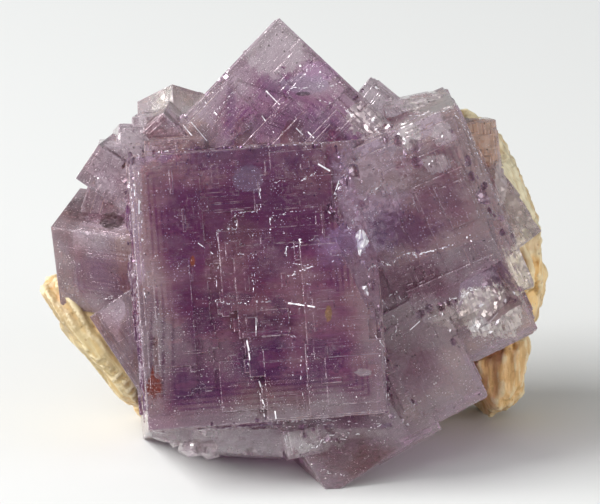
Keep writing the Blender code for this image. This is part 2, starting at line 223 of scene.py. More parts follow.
# %% The crystals: sizes, places and tones
CRYSTALS = [
    ("main", (29.6, 22, 33.9), (-5.2, 0, -4), (-4, -4.3, 3), "front left top right under", (1, 0.25, 0)),
    ("top", (23, 17, 23), (-2.2, 6.5, 12.9), (-5, 43.5, 0), "front top left back", (0.85, 0.5, 0)),
    ("right", (25, 15.5, 25), (12.7, 4.6, 2), (9, -24, 5), "front top right", (0.54, 0.52, 0.1)),
    ("left_crystal", (15, 9.4, 12), (-23.5, 9.6, -2.9), (31.5, 8.5, -25.5), "front top left",
     (0.75, 0.12, 0.65)),
    ("left_low", (12, 12, 14), (-17.3, 6.4, -10.6), (3, -33.4, -6), "front left", (0.72, 0.12, 0.7)),
    ("left_high", (8.6, 11, 5.2), (-22.9, 8.2, 8.8), (8, 35, -8), "front top left", (0.6, 0.2, 0.4)),
    ("left_shoulder", (6, 9, 6.4), (-24.2, 10.6, 5.2), (10, 20, -14), "front top left", (0.68, 0.15, 0.5)),
    ("left_ledge", (5, 10, 6.5), (-22, 9.6, 10), (4, -3, 4), "front top left", (0.2, 0.8, 0.2)),
    ("left_tooth", (4.2, 9, 7), (-20.6, 10.8, 12.2), (-3, 2, 6), "front top left", (0.12, 0.9, 0.1)),
    ("notch_tooth", (5, 9, 7.2), (-18.2, 11.4, 13.4), (5, -4, -5), "front top left", (0.08, 0.9, 0.1)),
    ("dark_tooth", (6.6, 9, 3.6), (-15.9, 5, 13.6), (12, 47, -4), "front top left", (0.85, 0.1, 0.8)),
    ("collar", (7.5, 9, 5.4), (-15.4, 3.6, 11.3), (-6, -3, 2), "front top", (0.7, 0.2, 0.35)),
    ("far_left", (6.8, 6.8, 9.4), (-13.2, 15.4, 15.9), (-18, 13, 44), "front left top", (0, 1, 0.05)),
    ("far_right", (7, 8, 6), (9.7, 13.6, 17.4), (-8, 40, 8), "front top", (0, 1, 0)),
    ("right_collar", (7.5, 9, 5), (14.6, 11, 16.4), (4, -12, 4), "front top", (0.05, 0.95, 0.15)),
    ("right_back", (9, 9, 13), (20.6, 12.2, 9.6), (3, -6, 6), "front top right", (0.15, 0.7, 0.6)),
    ("right_high_corner", (10.5, 9, 10.5), (22.8, 9.4, 3.5), (6, -38, 8), "front right top", (0.3, 0.6, 0.5)),
    ("right_low_corner", (13, 10, 10), (21.6, 8.4, -7.9), (4, -26, 6), "front right under", (0.3, 0.7, 0.3)),
    ("low_right", (17, 13, 15), (12.4, 5.6, -15), (4, -27, 5), "front right under", (0.45, 0.6, 0.3)),
    ("low_ledge", (9, 12, 7), (12, 6.8, -21.2), (5, -30, 4), "front under", (0.4, 0.5, 0.4)),
    ("foot", (12.6, 15, 14.4), (5, 3, -20.6), (-4, -32.5, 7), "front left under", (0.65, 0.15, 0.85)),
    ("foot_plate", (4.4, 6, 3.6), (0.4, 2, -23.4), (-3, -12, 4), "front", (0.5, 0.6, 0.3)),
    ("under_main", (11.6, 12, 7.6), (-7.6, 7, -21.2), (-5, 5, 3), "front under", (0, 0.9, 0.2)),
    ("under_left", (9, 10, 6), (-13.4, 8, -21), (-4, 12, -4), "front under", (0, 0.9, 0.2)),
    ("back_high", (12, 10, 12), (-6, 17, 12), (10, 20, -12), "back top left", (0.5, 0.5, 0.3)),
    ("back_left", (11, 10, 11), (-18, 17.5, 1), (-6, 30, 20), "back left top", (0.5, 0.5, 0.3)),
    ("back_right", (12, 11, 12), (15, 17, 6), (8, -18, -10), "back top right", (0.5, 0.5, 0.3)),
]

# Crystals whose faces the photograph shows smooth, and how high their growth steps and bevels are then
CALM = ("left_crystal", "left_low", "left_high", "dark_tooth", "far_left", "under_main", "under_left", "foot")
CALM_SHARE = 0.12
CALM_EDGE_MM = 0.04


def seat_of(size, front, turn):
    """Give the matrix of a crystal's own frame, at its centre: spin comes first and yaw last."""
    pitch, spin, yaw = (math.radians(angle) for angle in turn)
    rotation = Matrix.Rotation(yaw, 4, "Z") @ Matrix.Rotation(pitch, 4, "X") @ Matrix.Rotation(spin, 4, "Y")
    centre = Vector(front) + rotation.to_3x3() @ Vector((0, size[1] / 2, 0))
    return lean @ Matrix.Translation(centre * MM) @ rotation


seats = [seat_of(size, front, turn) for name, size, front, turn, sides, tone in CRYSTALS]
print(len(seats), "crystals placed")

# %% [markdown]
# A crystal body. Each one starts as a cube at its own size and place, and
# its edges are bevelled by a tenth of a millimetre or less: a real edge is
# never quite sharp, and the narrow flat catches the light. A number on every
# face remembers which crystal it belongs to, because a Boolean keeps it.

# %% Crystal bodies
EDGE_MM = 0.10
groups = {}
for name in ("main growth", "other growth", "main knocks", "other knocks", "shards", "nibbles"):
    groups[name] = bpy.data.collections.new(name)
    bpy.context.scene.collection.children.link(groups[name])


def mark(mesh, number):
    """Write a crystal's number on all faces of a mesh."""
    tag = mesh.attributes.get("crystal") or mesh.attributes.new("crystal", "INT", "FACE")
    tag.data.foreach_set("value", [number] * len(mesh.polygons))


def put_in(obj, group):
    """Move an object to a collection and leave it there alone."""
    for old in list(obj.users_collection):
        old.objects.unlink(obj)
    group.objects.link(obj)


def growth_of(number):
    """Give the collection that a crystal grows in: the main one has its own."""
    return groups["other growth" if number else "main growth"]


def open_cube(name, size):
    """Add a cube, its size in millimetres, and open it in edit mode with all of it selected."""
    bpy.ops.object.select_all(action="DESELECT")
    bpy.ops.mesh.primitive_cube_add(size=MM, scale=size)
    cube = bpy.context.object
    cube.name = name
    bpy.ops.object.transform_apply(location=False, rotation=False, scale=True)
    bpy.ops.object.mode_set(mode="EDIT")
    bpy.ops.mesh.select_all(action="SELECT")
    return cube


def crystal_body(number):
    """Add one crystal as a bevelled cube with its place in its mesh."""
    name, size = CRYSTALS[number][:2]
    body = open_cube(name, size)
    bpy.ops.mesh.bevel(offset=(CALM_EDGE_MM if name in CALM else EDGE_MM) * MM, segments=1, affect="EDGES")
    bpy.ops.object.mode_set(mode="OBJECT")
    body.data.transform(seats[number])
    mark(body.data, number)
    put_in(body, growth_of(number))
    return body


bodies = [crystal_body(number) for number in range(len(CRYSTALS))]
print(len(bodies), "bodies of", len(bodies[0].data.polygons), "faces")

# %% [markdown]
# One growth plate. Fluorite grows layer on layer, and each layer stops
# short of the one below, which leaves the fine square-cornered steps all
# over the faces. The plate is modelled once: a cube whose top is inset and
# raised, so the step has a sloping lip that shows as a bright line. Copies
# are stretched between their corners, so the lip keeps its width.

# %% Growth plate
LIP_MM = 0.12
ROOT_MM = 1.2
FACING = 0.9


def edit_faces(wanted):
    """Open the active object in edit mode with only the faces selected whose normal is wanted."""
    bpy.ops.object.mode_set(mode="EDIT")
    bpy.ops.mesh.select_mode(type="FACE")
    bpy.ops.mesh.select_all(action="DESELECT")
    bpy.ops.object.mode_set(mode="OBJECT")
    for face in bpy.context.object.data.polygons:
        face.select = wanted(face.normal)
    bpy.ops.object.mode_set(mode="EDIT")


def mesh_alone(obj):
    """Keep a model's mesh and remove its object."""
    mesh = obj.data
    bpy.data.objects.remove(obj)
    return mesh


bpy.ops.object.select_all(action="DESELECT")
bpy.ops.mesh.primitive_cube_add(size=2 * MM)
edit_faces(lambda normal: normal.z > FACING)
bpy.ops.mesh.inset(thickness=LIP_MM * MM)
bpy.ops.transform.translate(value=(0, 0, LIP_MM * MM))
bpy.ops.object.mode_set(mode="OBJECT")
plate = mesh_alone(bpy.context.object)
plate_points = np.array([v.co / MM for v in plate.vertices])
print("growth plate:", len(plate.polygons), "faces")

# The frame of each side: across, up and outwards in the crystal's own axes
SIDES = {
    "front": ((1, 0, 0), (0, 0, 1), (0, -1, 0)),
    "back": ((-1, 0, 0), (0, 0, 1), (0, 1, 0)),
    "top": ((1, 0, 0), (0, 1, 0), (0, 0, 1)),
    "under": ((1, 0, 0), (0, -1, 0), (0, 0, -1)),
    "left": ((0, -1, 0), (0, 0, 1), (-1, 0, 0)),
    "right": ((0, 1, 0), (0, 0, 1), (1, 0, 0)),
}


def side_frame(number, side):
    """Give the matrix of a face's frame, and the face's width and height in millimetres."""
    size = Vector(CRYSTALS[number][1])
    across, up, out = (Vector(axis) for axis in SIDES[side])
    local = Matrix((across, up, out)).transposed().to_4x4()
    local.translation = out * (abs(out.dot(size)) / 2) * MM
    return seats[number] @ local, abs(across.dot(size)), abs(up.dot(size))


def add_plate(number, place, edges, height):
    """Stretch a copy of the plate over left, right, bottom and top edges on a face."""
    left, right, bottom, top = edges
    half = np.array([(right - left) / 2, (top - bottom) / 2])
    points = plate_points.copy()
    points[:, :2] = np.sign(points[:, :2]) * (half - 1 + np.abs(points[:, :2]))
    points[:, 0] += (left + right) / 2
    points[:, 1] += (bottom + top) / 2
    above = points[:, 2] > 0
    points[above, 2] += height - plate_points[:, 2].max()
    points[~above, 2] = -ROOT_MM
    mesh = plate.copy()
    mesh.vertices.foreach_set("co", (points * MM).ravel())
    mesh.transform(place)
    mark(mesh, number)
    growth_of(number).objects.link(bpy.data.objects.new("plate", mesh))


# %% [markdown]
# Terraces. A face is covered by stacks of plates: each next one is smaller
# and higher. Short teeth along the borders of a plate give the ragged,
# jigsaw-like outline of real growth steps, and small islands fill the
# flats. The three large faces take the stacks that the photograph shows.

# %% Terraces on the faces
# Left, right, bottom and top edges from the middle of the front face, and height, for three crystals
STACKS = {
    0: [
        (-0.1, 14.7, -18.1, -8, 0.95), (-1.9, 14.1, -11.4, -4, 0.85),
        (-2.8, 13.6, -6.6, 4.9, 0.70), (-4.5, 11.6, -3, 6.9, 0.52),
        (-2, 10.6, 4, 9.1, 0.44), (0.9, 10.1, 6, 12.9, 0.34),
        (2.6, 9.4, 12.2, 16.2, 0.25), (5.4, 13.2, -8.4, 4.4, 1.12),
        (5.1, 14.9, -17, -7.8, 1.16), (7.4, 14.5, -15.6, -9.6, 1.3),
        (-0.5, 3.5, -6.2, -3.2, 1.02), (-14.2, -6.1, -12.3, 15.4, 0.20),
        (-12.9, -8.2, -9.4, 3.8, 0.36), (-5.6, 0.6, -15.4, -9.1, 0.24),
    ],
    1: [
        (-3.8, 10.9, -9, 10.3, 0.75), (-7.3, -2, 6.4, 10.9, 0.35),
        (-1.2, 10.2, -7, 9.2, 1.00), (-10.6, -5, -8.8, 1.2, 0.30),
        (1.6, 9.8, 2, 8.1, 1.25), (-4.35, 0.8, 5.2, 10.95, 1.22),
    ],
    2: [
        (-4, 11.6, -12, 11.2, 0.30), (0.6, 11, -11, 8.4, 0.55),
        (3.4, 10.2, -8, 5.2, 0.80), (-2.4, 9.4, -11.6, -6.4, 1.10),
        (6, 9.8, -1.6, 3.8, 1.00),
    ],
}
STEP_MM = 0.18
STEP_SHARES = (0.8, 1.2)
STEPS_BACK = (0.01, 0.04, 0.12, 0.2)
LARGE_FACE_MM = 8
TOOTH_GAP_MM = 3.0
TOOTH_LONG_MM = (0.5, 2.4)
TOOTH_DEEP_MM = (0.25, 0.8)
TOOTH_SHARES = (0.55, 0.97)
ISLAND_MM2 = 26
ISLAND_SHARES = (0.6, 1.5)
ISLAND_HIGH_MM = (0.04, 0.11)
ISLANDS = ((0.4, 1.4), (1.4, 0.4), (0.8, 0.8), (0.25, 2.0), (2.0, 0.25))
LEAST_PLATE_MM = 0.3
rng = random.Random(7)


def clip(edges, wide, high):
    """Keep a plate inside its face."""
    rim = EDGE_MM * 1.5
    left, right, bottom, top = edges
    return (
        max(left, rim - wide / 2), min(right, wide / 2 - rim),
        max(bottom, rim - high / 2), min(top, high / 2 - rim),
    )


def stack(wide, high):
    """Invent a stack of plates, each one smaller and higher than the last."""
    left, right, bottom, top = -wide / 2, wide / 2, -high / 2, high / 2
    plates = []
    for level in range(4 if min(wide, high) > LARGE_FACE_MM else 2):
        left += wide * rng.choice(STEPS_BACK)
        right -= wide * rng.choice(STEPS_BACK)
        bottom += high * rng.choice(STEPS_BACK)
        top -= high * rng.choice(STEPS_BACK)
        if right - left < 1 or top - bottom < 1:
            break
        plates.append((left, right, bottom, top, STEP_MM * (level + rng.uniform(*STEP_SHARES))))
    return plates


def teeth(edges, height):
    """Give the short plates that make the border of a plate ragged."""
    left, right, bottom, top = edges
    found = []
    around = 2 * (right - left + top - bottom)
    for i in range(int(around / TOOTH_GAP_MM)):
        long, deep = rng.uniform(*TOOTH_LONG_MM), rng.uniform(*TOOTH_DEEP_MM)
        high = height * rng.uniform(*TOOTH_SHARES)
        if rng.random() < (right - left) / (right - left + top - bottom):
            at = rng.uniform(left, right)
            side = rng.choice((bottom, top))
            found.append((at - long / 2, at + long / 2, side - deep, side + deep, high))
        else:
            at = rng.uniform(bottom, top)
            side = rng.choice((left, right))
            found.append((side - deep, side + deep, at - long / 2, at + long / 2, high))
    return found


def islands(wide, tall, plates):
    """Give small plates that stand a little above whatever is under them."""
    found = []
    for i in range(int(wide * tall / ISLAND_MM2)):
        x, y = rng.uniform(-0.48, 0.48) * wide, rng.uniform(-0.48, 0.48) * tall
        a, b = rng.choice(ISLANDS)
        a, b = a * rng.uniform(*ISLAND_SHARES), b * rng.uniform(*ISLAND_SHARES)
        under = [p[4] for p in plates if p[0] < x < p[1] and p[2] < y < p[3]]
        high = max(under, default=0) + rng.uniform(*ISLAND_HIGH_MM)
        found.append((x - a, x + a, y - b, y + b, high))
    return found


print("stacks from the photograph:", [CRYSTALS[number][0] for number in STACKS])

# %% [markdown]
# Covering the faces. The stacks from the photograph go on the front faces of
# the three large crystals, and invented ones on all the other faces that
# show. Every plate then gets its teeth, and every face its islands. On the
# crystals that look smooth, all of this is kept low.

# %% Cover the faces
count = 0
for number, (name, size, front, turn, sides, tone) in enumerate(CRYSTALS):
    for side in sides.split():
        place, wide, high = side_frame(number, side)
        shown = side == "front" and number in STACKS
        plates = list(STACKS[number]) if shown else stack(wide, high)
        for *edges, height in list(plates):
            plates += teeth(edges, height)
        plates += islands(wide, high, plates)
        for *edges, height in plates:
            edges = clip(edges, wide, high)
            if edges[1] - edges[0] > LEAST_PLATE_MM and edges[3] - edges[2] > LEAST_PLATE_MM:
                add_plate(number, place, edges, height * (CALM_SHARE if name in CALM else 1))
                count += 1
print(count, "growth plates")

# %% [markdown]
# Breaks. Where the specimen was knocked, fluorite parts along flat cleavage
# planes at a slant to its cube faces. Turned blocks cut those planes. Their
# faces take the number of the crystal plus a hundred, so the material can
# tell a break from a grown face; bright flaws get two hundred. One more
# block, as large as a tray, trims the underside level with the table.

# %% Breaks
BROKEN = 100
BRIGHT = 200
TRAY_MM = 200
# Crystal, size of the block, its centre and its turn in degrees
BREAKS = [
    (0, (14, 8, 15), (9.95, 0.2, 9.6), (0, -4, 47)),
    (0, (12, 8, 11.8), (10.95, -1.26, -1.87), (-20, 0, 47)),
    (0, (5, 5, 4), (-22.23, -0.63, 12.53), (35.3, -45, 0)),
    (0, (5, 8, 4), (-22.64, 0, 12.76), (0, -54.7, 0)),
    (1, (3, 3, 3), (-2.6, 5.6, 29.6), (30, 20, 40)),
    (2, (9, 4, 7), (23, 5.6, -6.4), (14, -38, 30)),
]
TRIMMED = [row[0] for row in CRYSTALS].index("under_main")

bpy.ops.object.select_all(action="DESELECT")
bpy.ops.mesh.primitive_cube_add(size=MM)
cuboid = mesh_alone(bpy.context.object)
bpy.ops.mesh.primitive_uv_sphere_add(segments=4, ring_count=2, radius=MM / 2)
octahedron = mesh_alone(bpy.context.object)


def block(form, tag, size, place, group):
    """Copy a tool to its size and place, with its tag on its faces."""
    mesh = form.copy()
    mesh.transform(place @ Matrix.Diagonal((*size, 1)))
    mark(mesh, tag)
    groups[group].objects.link(bpy.data.objects.new("tool", mesh))


def turned(degrees):
    """Give the matrix of three Euler angles in degrees."""
    return Euler([math.radians(angle) for angle in degrees]).to_matrix().to_4x4()


def placed(centre, turn):
    """Give the matrix of a centre in the leaning frame and a turn in degrees."""
    return lean @ Matrix.Translation(Vector(centre) * MM) @ turned(turn)


for number, size, centre, turn in BREAKS:
    group = "other knocks" if number else "main knocks"
    block(cuboid, number + BROKEN, size, placed(centre, turn), group)
under_table = Matrix.Translation((0, 0, -TRAY_MM / 2 * MM))
block(cuboid, TRIMMED + BROKEN, (TRAY_MM, TRAY_MM, TRAY_MM), under_table, "other knocks")
print(len(BREAKS), "breaks")

# %% [markdown]
# Joining. The main crystal is joined and broken first, so that its
# neighbours stay whole behind its break. Then all the crystals become one
# closed solid, which is broken and trimmed in turn.

# %% Join the crystals
fluorite = bodies[0]
fluorite.name = "fluorite_crystals"
put_in(fluorite, bpy.context.scene.collection)


def boolean(operation, name):
    """Apply a Boolean to the fluorite with everything in a group, then clear the group."""
    settings = {"solver": "MANIFOLD", "operand_type": "COLLECTION", "collection": groups[name]}
    apply_modifier(fluorite, operation.title(), "BOOLEAN", operation=operation, **settings)
    for tool in list(groups[name].objects):
        bpy.data.objects.remove(tool)
    bpy.data.collections.remove(groups[name])


boolean("UNION", "main growth")
boolean("DIFFERENCE", "main knocks")
boolean("UNION", "other growth")
boolean("DIFFERENCE", "other knocks")
print("joined fluorite:", len(fluorite.data.polygons), "faces")

# %% [markdown]
# Finding the surface. Small flaws are placed where they show in the
# photograph, which is 600 pixels wide. A ray from the camera through such a
# pixel meets the joined crystals at the point where the flaw belongs.

# %% A ray through a pixel
PICTURE = (600, 504)
tree = bvhtree.BVHTree.FromPolygons(
    [vertex.co for vertex in fluorite.data.vertices], [face.vertices for face in fluorite.data.polygons]
)
owners = [item.value % BROKEN for item in fluorite.data.attributes["crystal"].data]


def surface(px, py):
    """Give the point and the normal of the fluorite under a pixel, and the crystal's number."""
    scale = camera.data.sensor_width / camera.data.lens / PICTURE[0]
    aim = Vector(((px - PICTURE[0] / 2) * scale, (PICTURE[1] / 2 - py) * scale, -1)).normalized()
    point, normal, index, distance = tree.ray_cast(camera.location, camera.matrix_basis.to_3x3() @ aim)
    return None if point is None else (point, normal, owners[index])


def along_path(path, stray):
    """Give a random spot on a path of pixels, off it by a little, and the way that the path goes there."""
    step = rng.uniform(0, len(path) - 1.001)
    a, b = Vector(path[int(step)]), Vector(path[int(step) + 1])
    return a.lerp(b, step % 1) + Vector((rng.gauss(0, stray), rng.gauss(0, stray))), (b - a).normalized()


print("surface under the middle:", surface(300, 252))

# %% [markdown]
# Broken borders. Fluorite parts along the faces of an octahedron, so a chip
# out of a cube leaves small triangular facets, and a row of chips makes a
# saw-toothed border. Little octahedra, in line with the crystal's own axes,
# are set along each border: most are cut out of it, and a few stand proud.

# %% Broken borders
BORDERS = [
    # pixels along the border, number of chips, least and greatest size, how far they stray
    ([(336, 146), (345, 178), (335, 195), (328, 212), (344, 227)], 40, 0.3, 1.1, 1.5),
    ([(364, 264), (374, 290)], 8, 0.3, 0.9, 2),
    ([(376, 296), (383, 330), (387, 365), (389, 420)], 24, 0.3, 0.8, 1.5),
    ([(348, 160), (366, 200), (372, 235)], 8, 0.6, 1.6, 8),
    ([(350, 105), (375, 125), (400, 145), (425, 160)], 18, 0.6, 2.2, 7),
    ([(375, 268), (415, 252), (428, 256), (450, 246)], 8, 0.3, 0.7, 1),
    ([(425, 310), (455, 300), (470, 318), (505, 292)], 12, 0.4, 1.3, 3),
    ([(395, 360), (440, 335), (480, 330), (505, 325)], 7, 0.3, 1, 4),
    ([(455, 130), (475, 180), (500, 220), (520, 255)], 16, 0.5, 1.5, 3),
    ([(130, 155), (160, 151), (200, 148), (260, 146), (330, 144)], 30, 0.3, 0.9, 1),
    ([(128, 160), (130, 230), (135, 300), (146, 420)], 44, 0.3, 0.9, 2),
    ([(150, 432), (200, 430), (268, 422), (330, 430), (388, 424)], 24, 0.4, 1.1, 3),
    ([(300, 442), (352, 436), (395, 415), (415, 400)], 14, 0.4, 1.2, 3),
    ([(305, 60), (318, 72), (345, 85), (362, 92)], 8, 0.3, 0.8, 2),
    ([(224, 74), (200, 96), (181, 120)], 12, 0.4, 1, 1),
    ([(150, 436), (190, 448), (222, 455), (240, 454), (286, 460)], 34, 0.8, 2.4, 1.5),
    ([(127, 156), (131, 164), (140, 158)], 9, 0.4, 0.9, 2),
]
PROUD_SHARE = 0.2
ABOVE_TABLE_MM = 2.0
CHIP_SHARES = (0.7, 1.6)
CHIP_SKEW_DEG = 7
CHIP_SINKS = (0.1, 0.3)
rng = random.Random(23)
count = 0
for path, number, least, greatest, stray in BORDERS:
    for i in range(number):
        spot, way = along_path(path, stray)
        found = surface(*spot)
        scale = rng.uniform(least, greatest)
        size = [scale * rng.uniform(*CHIP_SHARES) for axis in range(3)]
        skew = [rng.gauss(0, CHIP_SKEW_DEG) for axis in range(3)]
        proud = rng.random() < PROUD_SHARE
        sink = rng.uniform(*CHIP_SINKS) * scale * (-1 if proud else 1)
        if not found or found[0].z < ABOVE_TABLE_MM * MM:
            continue
        point, normal, crystal = found
        place = Matrix.Translation(point + normal * sink * MM) @ seats[crystal].to_3x3().to_4x4()
        block(octahedron, crystal + BROKEN, size, place @ turned(skew), "shards" if proud else "nibbles")
        count += 1
print(count, "chips")

# %% [markdown]
# Bright flaws. Open cleavage cracks flash white, as fine needles and
# flakes. Each needle is a thin sliver laid on the surface between two
# pixels, and rows of shorter slivers run along the borders of the steps.
# Each flake is a thin chip, turned so that it throws the light of the
# window at the camera.

# %% Bright needles and flakes
NEEDLES = [
    # pixel at each end, and width in millimetres
    (288, 303, 315, 307, 0.17), (247, 340, 249, 351, 0.18), (249, 353, 250, 360, 0.10),
    (259, 381, 261, 387, 0.16), (185, 152, 187, 164, 0.12), (205, 102, 217, 115, 0.10),
    (183, 125, 198, 143, 0.10), (191, 122, 207, 141, 0.10), (262, 116, 274, 133, 0.10),
    (266, 91, 280, 105, 0.10), (296, 128, 303, 135, 0.14), (308, 132, 314, 138, 0.12),
    (275, 411, 276, 419, 0.14), (256, 318, 256, 336, 0.06), (134, 184, 135, 196, 0.16),
    (139, 200, 139, 214, 0.12), (474, 326, 482, 317, 0.10), (490, 322, 498, 313, 0.10),
    (497, 296, 503, 292, 0.10), (410, 330, 420, 321, 0.10), (198, 243, 213, 254, 0.10),
    (318, 164, 330, 171, 0.20), (334, 211, 349, 229, 0.12), (340, 178, 334, 195, 0.12),
    (336, 196, 329, 210, 0.12), (345, 250, 332, 262, 0.08), (352, 292, 370, 268, 0.08),
]
FLAKES = [
    # pixel, and size in millimetres
    (357, 237, 2), (363, 235, 1.6), (361, 245, 2), (366, 241, 1.5), (359, 251, 1.4), (363, 288, 1),
    (367, 293, 0.8), (376, 88, 0.8), (373, 120, 0.9), (404, 141, 1), (409, 148, 0.7), (398, 134, 0.6),
    (442, 136, 0.5), (432, 161, 0.45), (429, 164, 0.4), (467, 237, 0.5), (471, 241, 0.45),
    (470, 235, 0.35), (402, 420, 1), (407, 424, 0.7), (352, 116, 0.7), (386, 112, 0.6), (300, 66, 0.5),
    (320, 72, 0.5), (480, 305, 1.2), (497, 322, 1), (505, 300, 1), (490, 332, 0.8), (514, 292, 0.7),
    (450, 330, 0.6), (98, 178, 0.4),
]
SPARKLES = [
    # pixels along the row, number of grains, greatest size
    ([(260, 180), (260, 211), (236, 213), (236, 229), (217, 230), (218, 262), (216, 303)], 60, 0.19),
    ([(262, 180), (300, 181), (318, 172)], 18, 0.24),
    ([(236, 254), (253, 254), (253, 300)], 16, 0.17),
    ([(230, 310), (232, 340), (244, 352), (252, 378), (259, 392), (268, 430)], 20, 0.13),
    ([(269, 217), (305, 210)], 12, 0.22),
    ([(270, 217), (270, 234)], 8, 0.20),
    ([(286, 257), (286, 247), (300, 245), (300, 240), (319, 240)], 22, 0.24),
    ([(282, 262), (312, 266), (288, 276), (314, 286)], 34, 0.22),
    ([(290, 310), (290, 335), (300, 340), (303, 400)], 18, 0.22),
    ([(307, 345), (309, 420)], 10, 0.20),
    ([(270, 423), (318, 420), (386, 421)], 30, 0.26),
    ([(336, 146), (345, 178), (335, 195), (328, 212), (352, 235)], 50, 0.34),
    ([(372, 267), (384, 262), (391, 266), (400, 256), (412, 252), (417, 257), (426, 252), (440, 249),
      (452, 245)], 64, 0.30),
    ([(453, 299), (463, 295), (470, 288), (482, 290)], 16, 0.26),
    ([(452, 298), (444, 304), (442, 314), (449, 322)], 16, 0.26),
    ([(384, 300), (396, 292), (402, 300), (408, 296)], 14, 0.24),
    ([(382, 184), (356, 207), (351, 230)], 20, 0.26),
    ([(382, 300), (398, 322), (386, 352)], 20, 0.26),
    ([(130, 166), (134, 240), (138, 300), (147, 425)], 34, 0.22),
    ([(140, 168), (142, 240), (146, 300)], 16, 0.22),
    ([(127, 155), (200, 148), (335, 143)], 36, 0.30),
    ([(316, 61), (292, 88), (345, 85)], 26, 0.26),
    ([(425, 320), (455, 306), (470, 290), (500, 284)], 34, 0.34),
    ([(410, 117), (452, 110)], 16, 0.24),
    ([(453, 112), (467, 131), (480, 160), (497, 200)], 24, 0.26),
    ([(300, 446), (352, 438), (395, 418), (432, 392)], 30, 0.30),
    ([(71, 196), (57, 215), (60, 270)], 14, 0.22),
    ([(240, 86), (215, 112)], 12, 0.20),
    ([(262, 400), (266, 424), (286, 432), (288, 446), (318, 447), (326, 436), (350, 432)], 44, 0.30),
    ([(268, 428), (318, 424), (386, 424)], 24, 0.26),
    ([(215, 300), (232, 304), (250, 302), (290, 300)], 20, 0.24),
    ([(320, 100), (345, 108), (352, 116), (366, 122), (380, 132)], 22, 0.34),
    ([(372, 330), (384, 348), (386, 366), (388, 420)], 24, 0.24),
    ([(104, 299), (125, 293)], 10, 0.22),
    ([(320, 470), (336, 474), (352, 476)], 12, 0.22),
]
NEEDLE_HIGH_MM = 0.14
ROW_STRAY_PX = 0.7
REACHES_PX = (0.6, 0.8, 1.2, 2.4)
GRAIN_SHARES = (0.3, 0.7)
FLAKE_SHAPE = (1.2, 0.6, 0.3)
FLAKE_SKEW_DEG = 10


def lay(start, end, form, wide, thick):
    """Lay a sliver on the surface from one pixel to another."""
    first, last = surface(*start), surface(*end)
    if first and last:
        along = last[0] - first[0]
        out = first[1] - along * first[1].dot(along) / along.length_squared
        axes = Matrix((along.normalized(), out.normalized().cross(along.normalized()), out.normalized()))
        place = Matrix.Translation((first[0] + last[0]) / 2) @ axes.transposed().to_4x4()
        block(form, first[2] + BRIGHT, (along.length / MM, wide, thick), place, "shards")


for path, number, greatest in SPARKLES:
    for i in range(number):
        spot, way = along_path(path, ROW_STRAY_PX)
        reach = way * rng.choice(REACHES_PX)
        size = greatest * rng.uniform(*GRAIN_SHARES)
        lay(spot - reach, spot + reach, octahedron, size, size * 0.8)
for x0, y0, x1, y1, wide in NEEDLES:
    lay((x0, y0), (x1, y1), cuboid, wide, NEEDLE_HIGH_MM)
halfway = Vector(WINDOW_AT).normalized() + camera.location.normalized()
glint = halfway.to_track_quat("Z", "Y").to_matrix().to_4x4()
for px, py, size in FLAKES:
    found = surface(px, py)
    skew = turned((rng.gauss(0, FLAKE_SKEW_DEG), rng.gauss(0, FLAKE_SKEW_DEG), rng.uniform(0, 360)))
    if found:
        place = Matrix.Translation(found[0]) @ glint @ skew
        block(octahedron, found[2] + BRIGHT, [size * share for share in FLAKE_SHAPE], place, "shards")
print(len(NEEDLES), "needles and", len(FLAKES), "flakes")

boolean("UNION", "shards")
boolean("DIFFERENCE", "nibbles")
print("fluorite with its flaws:", len(fluorite.data.polygons), "faces")

# %% [markdown]
# Coordinates for the pattern. The colour zones and fine steps of each
# crystal follow its own faces, so every corner of the mesh stores where it
# lies in its crystal, in millimetres from the centre, with the crystal's
# half sizes and its tone. A fourth attribute spreads the faces out flat,
# each in a place of its own. The material reads all four.

# %% Crystal coordinates
FACE_APART_MM = 41.0
UPRIGHT = 0.98


def read(items, name, width=1, kind="f"):
    """Read a property of many items as an array."""
    values = np.zeros(len(items) * width, kind)
    items.foreach_get(name, values)
    return values.reshape(-1, width) if width > 1 else values


def store(mesh, name, kind, domain, values):
    """Write an attribute from an array."""
    layer = mesh.attributes.new(name, kind, domain)
    values = np.asarray(values, "i" if kind == "INT" else "f")
    layer.data.foreach_set("vector" if kind == "FLOAT_VECTOR" else "value", values.ravel())


mesh = fluorite.data
tags = read(mesh.attributes["crystal"].data, "value", kind="i")
loops = read(mesh.loops, "vertex_index", kind="i")
totals = read(mesh.polygons, "loop_total", kind="i")
owner = np.repeat(tags % BROKEN, totals)
back = np.array([np.array(seat.inverted()) for seat in seats])
points = np.c_[read(mesh.vertices, "co", 3), np.ones(len(mesh.vertices))]
place = np.einsum("nij,nj->ni", back[owner], points[loops])[:, :3] / MM
store(mesh, "place", "FLOAT_VECTOR", "CORNER", place)
store(mesh, "half", "FLOAT_VECTOR", "CORNER", np.array([row[1] for row in CRYSTALS])[owner] / 2)
store(mesh, "tone", "FLOAT_VECTOR", "CORNER", np.array([row[5] for row in CRYSTALS])[owner])
store(mesh, "broken", "FLOAT", "FACE", (tags >= BROKEN) & (tags < BRIGHT))
store(mesh, "bright", "FLOAT", "FACE", tags >= BRIGHT)

normals = np.einsum("nij,nj->ni", back[tags % BROKEN][:, :3, :3], read(mesh.polygons, "normal", 3))
store(mesh, "lip", "FLOAT", "FACE", (np.abs(normals).max(1) < UPRIGHT) & (tags < BROKEN))
axis = np.repeat(np.abs(normals).argmax(1), totals)
corner = np.arange(len(loops))
apart = (owner * 3 + axis) * FACE_APART_MM
flat = [place[corner, (axis + 1) % 3] + apart, place[corner, (axis + 2) % 3] + apart, np.zeros(len(loops))]
store(mesh, "flat", "FLOAT_VECTOR", "CORNER", np.array(flat).T)
print("fluorite corners:", len(loops), "broken faces:", int((tags >= BROKEN).sum()))

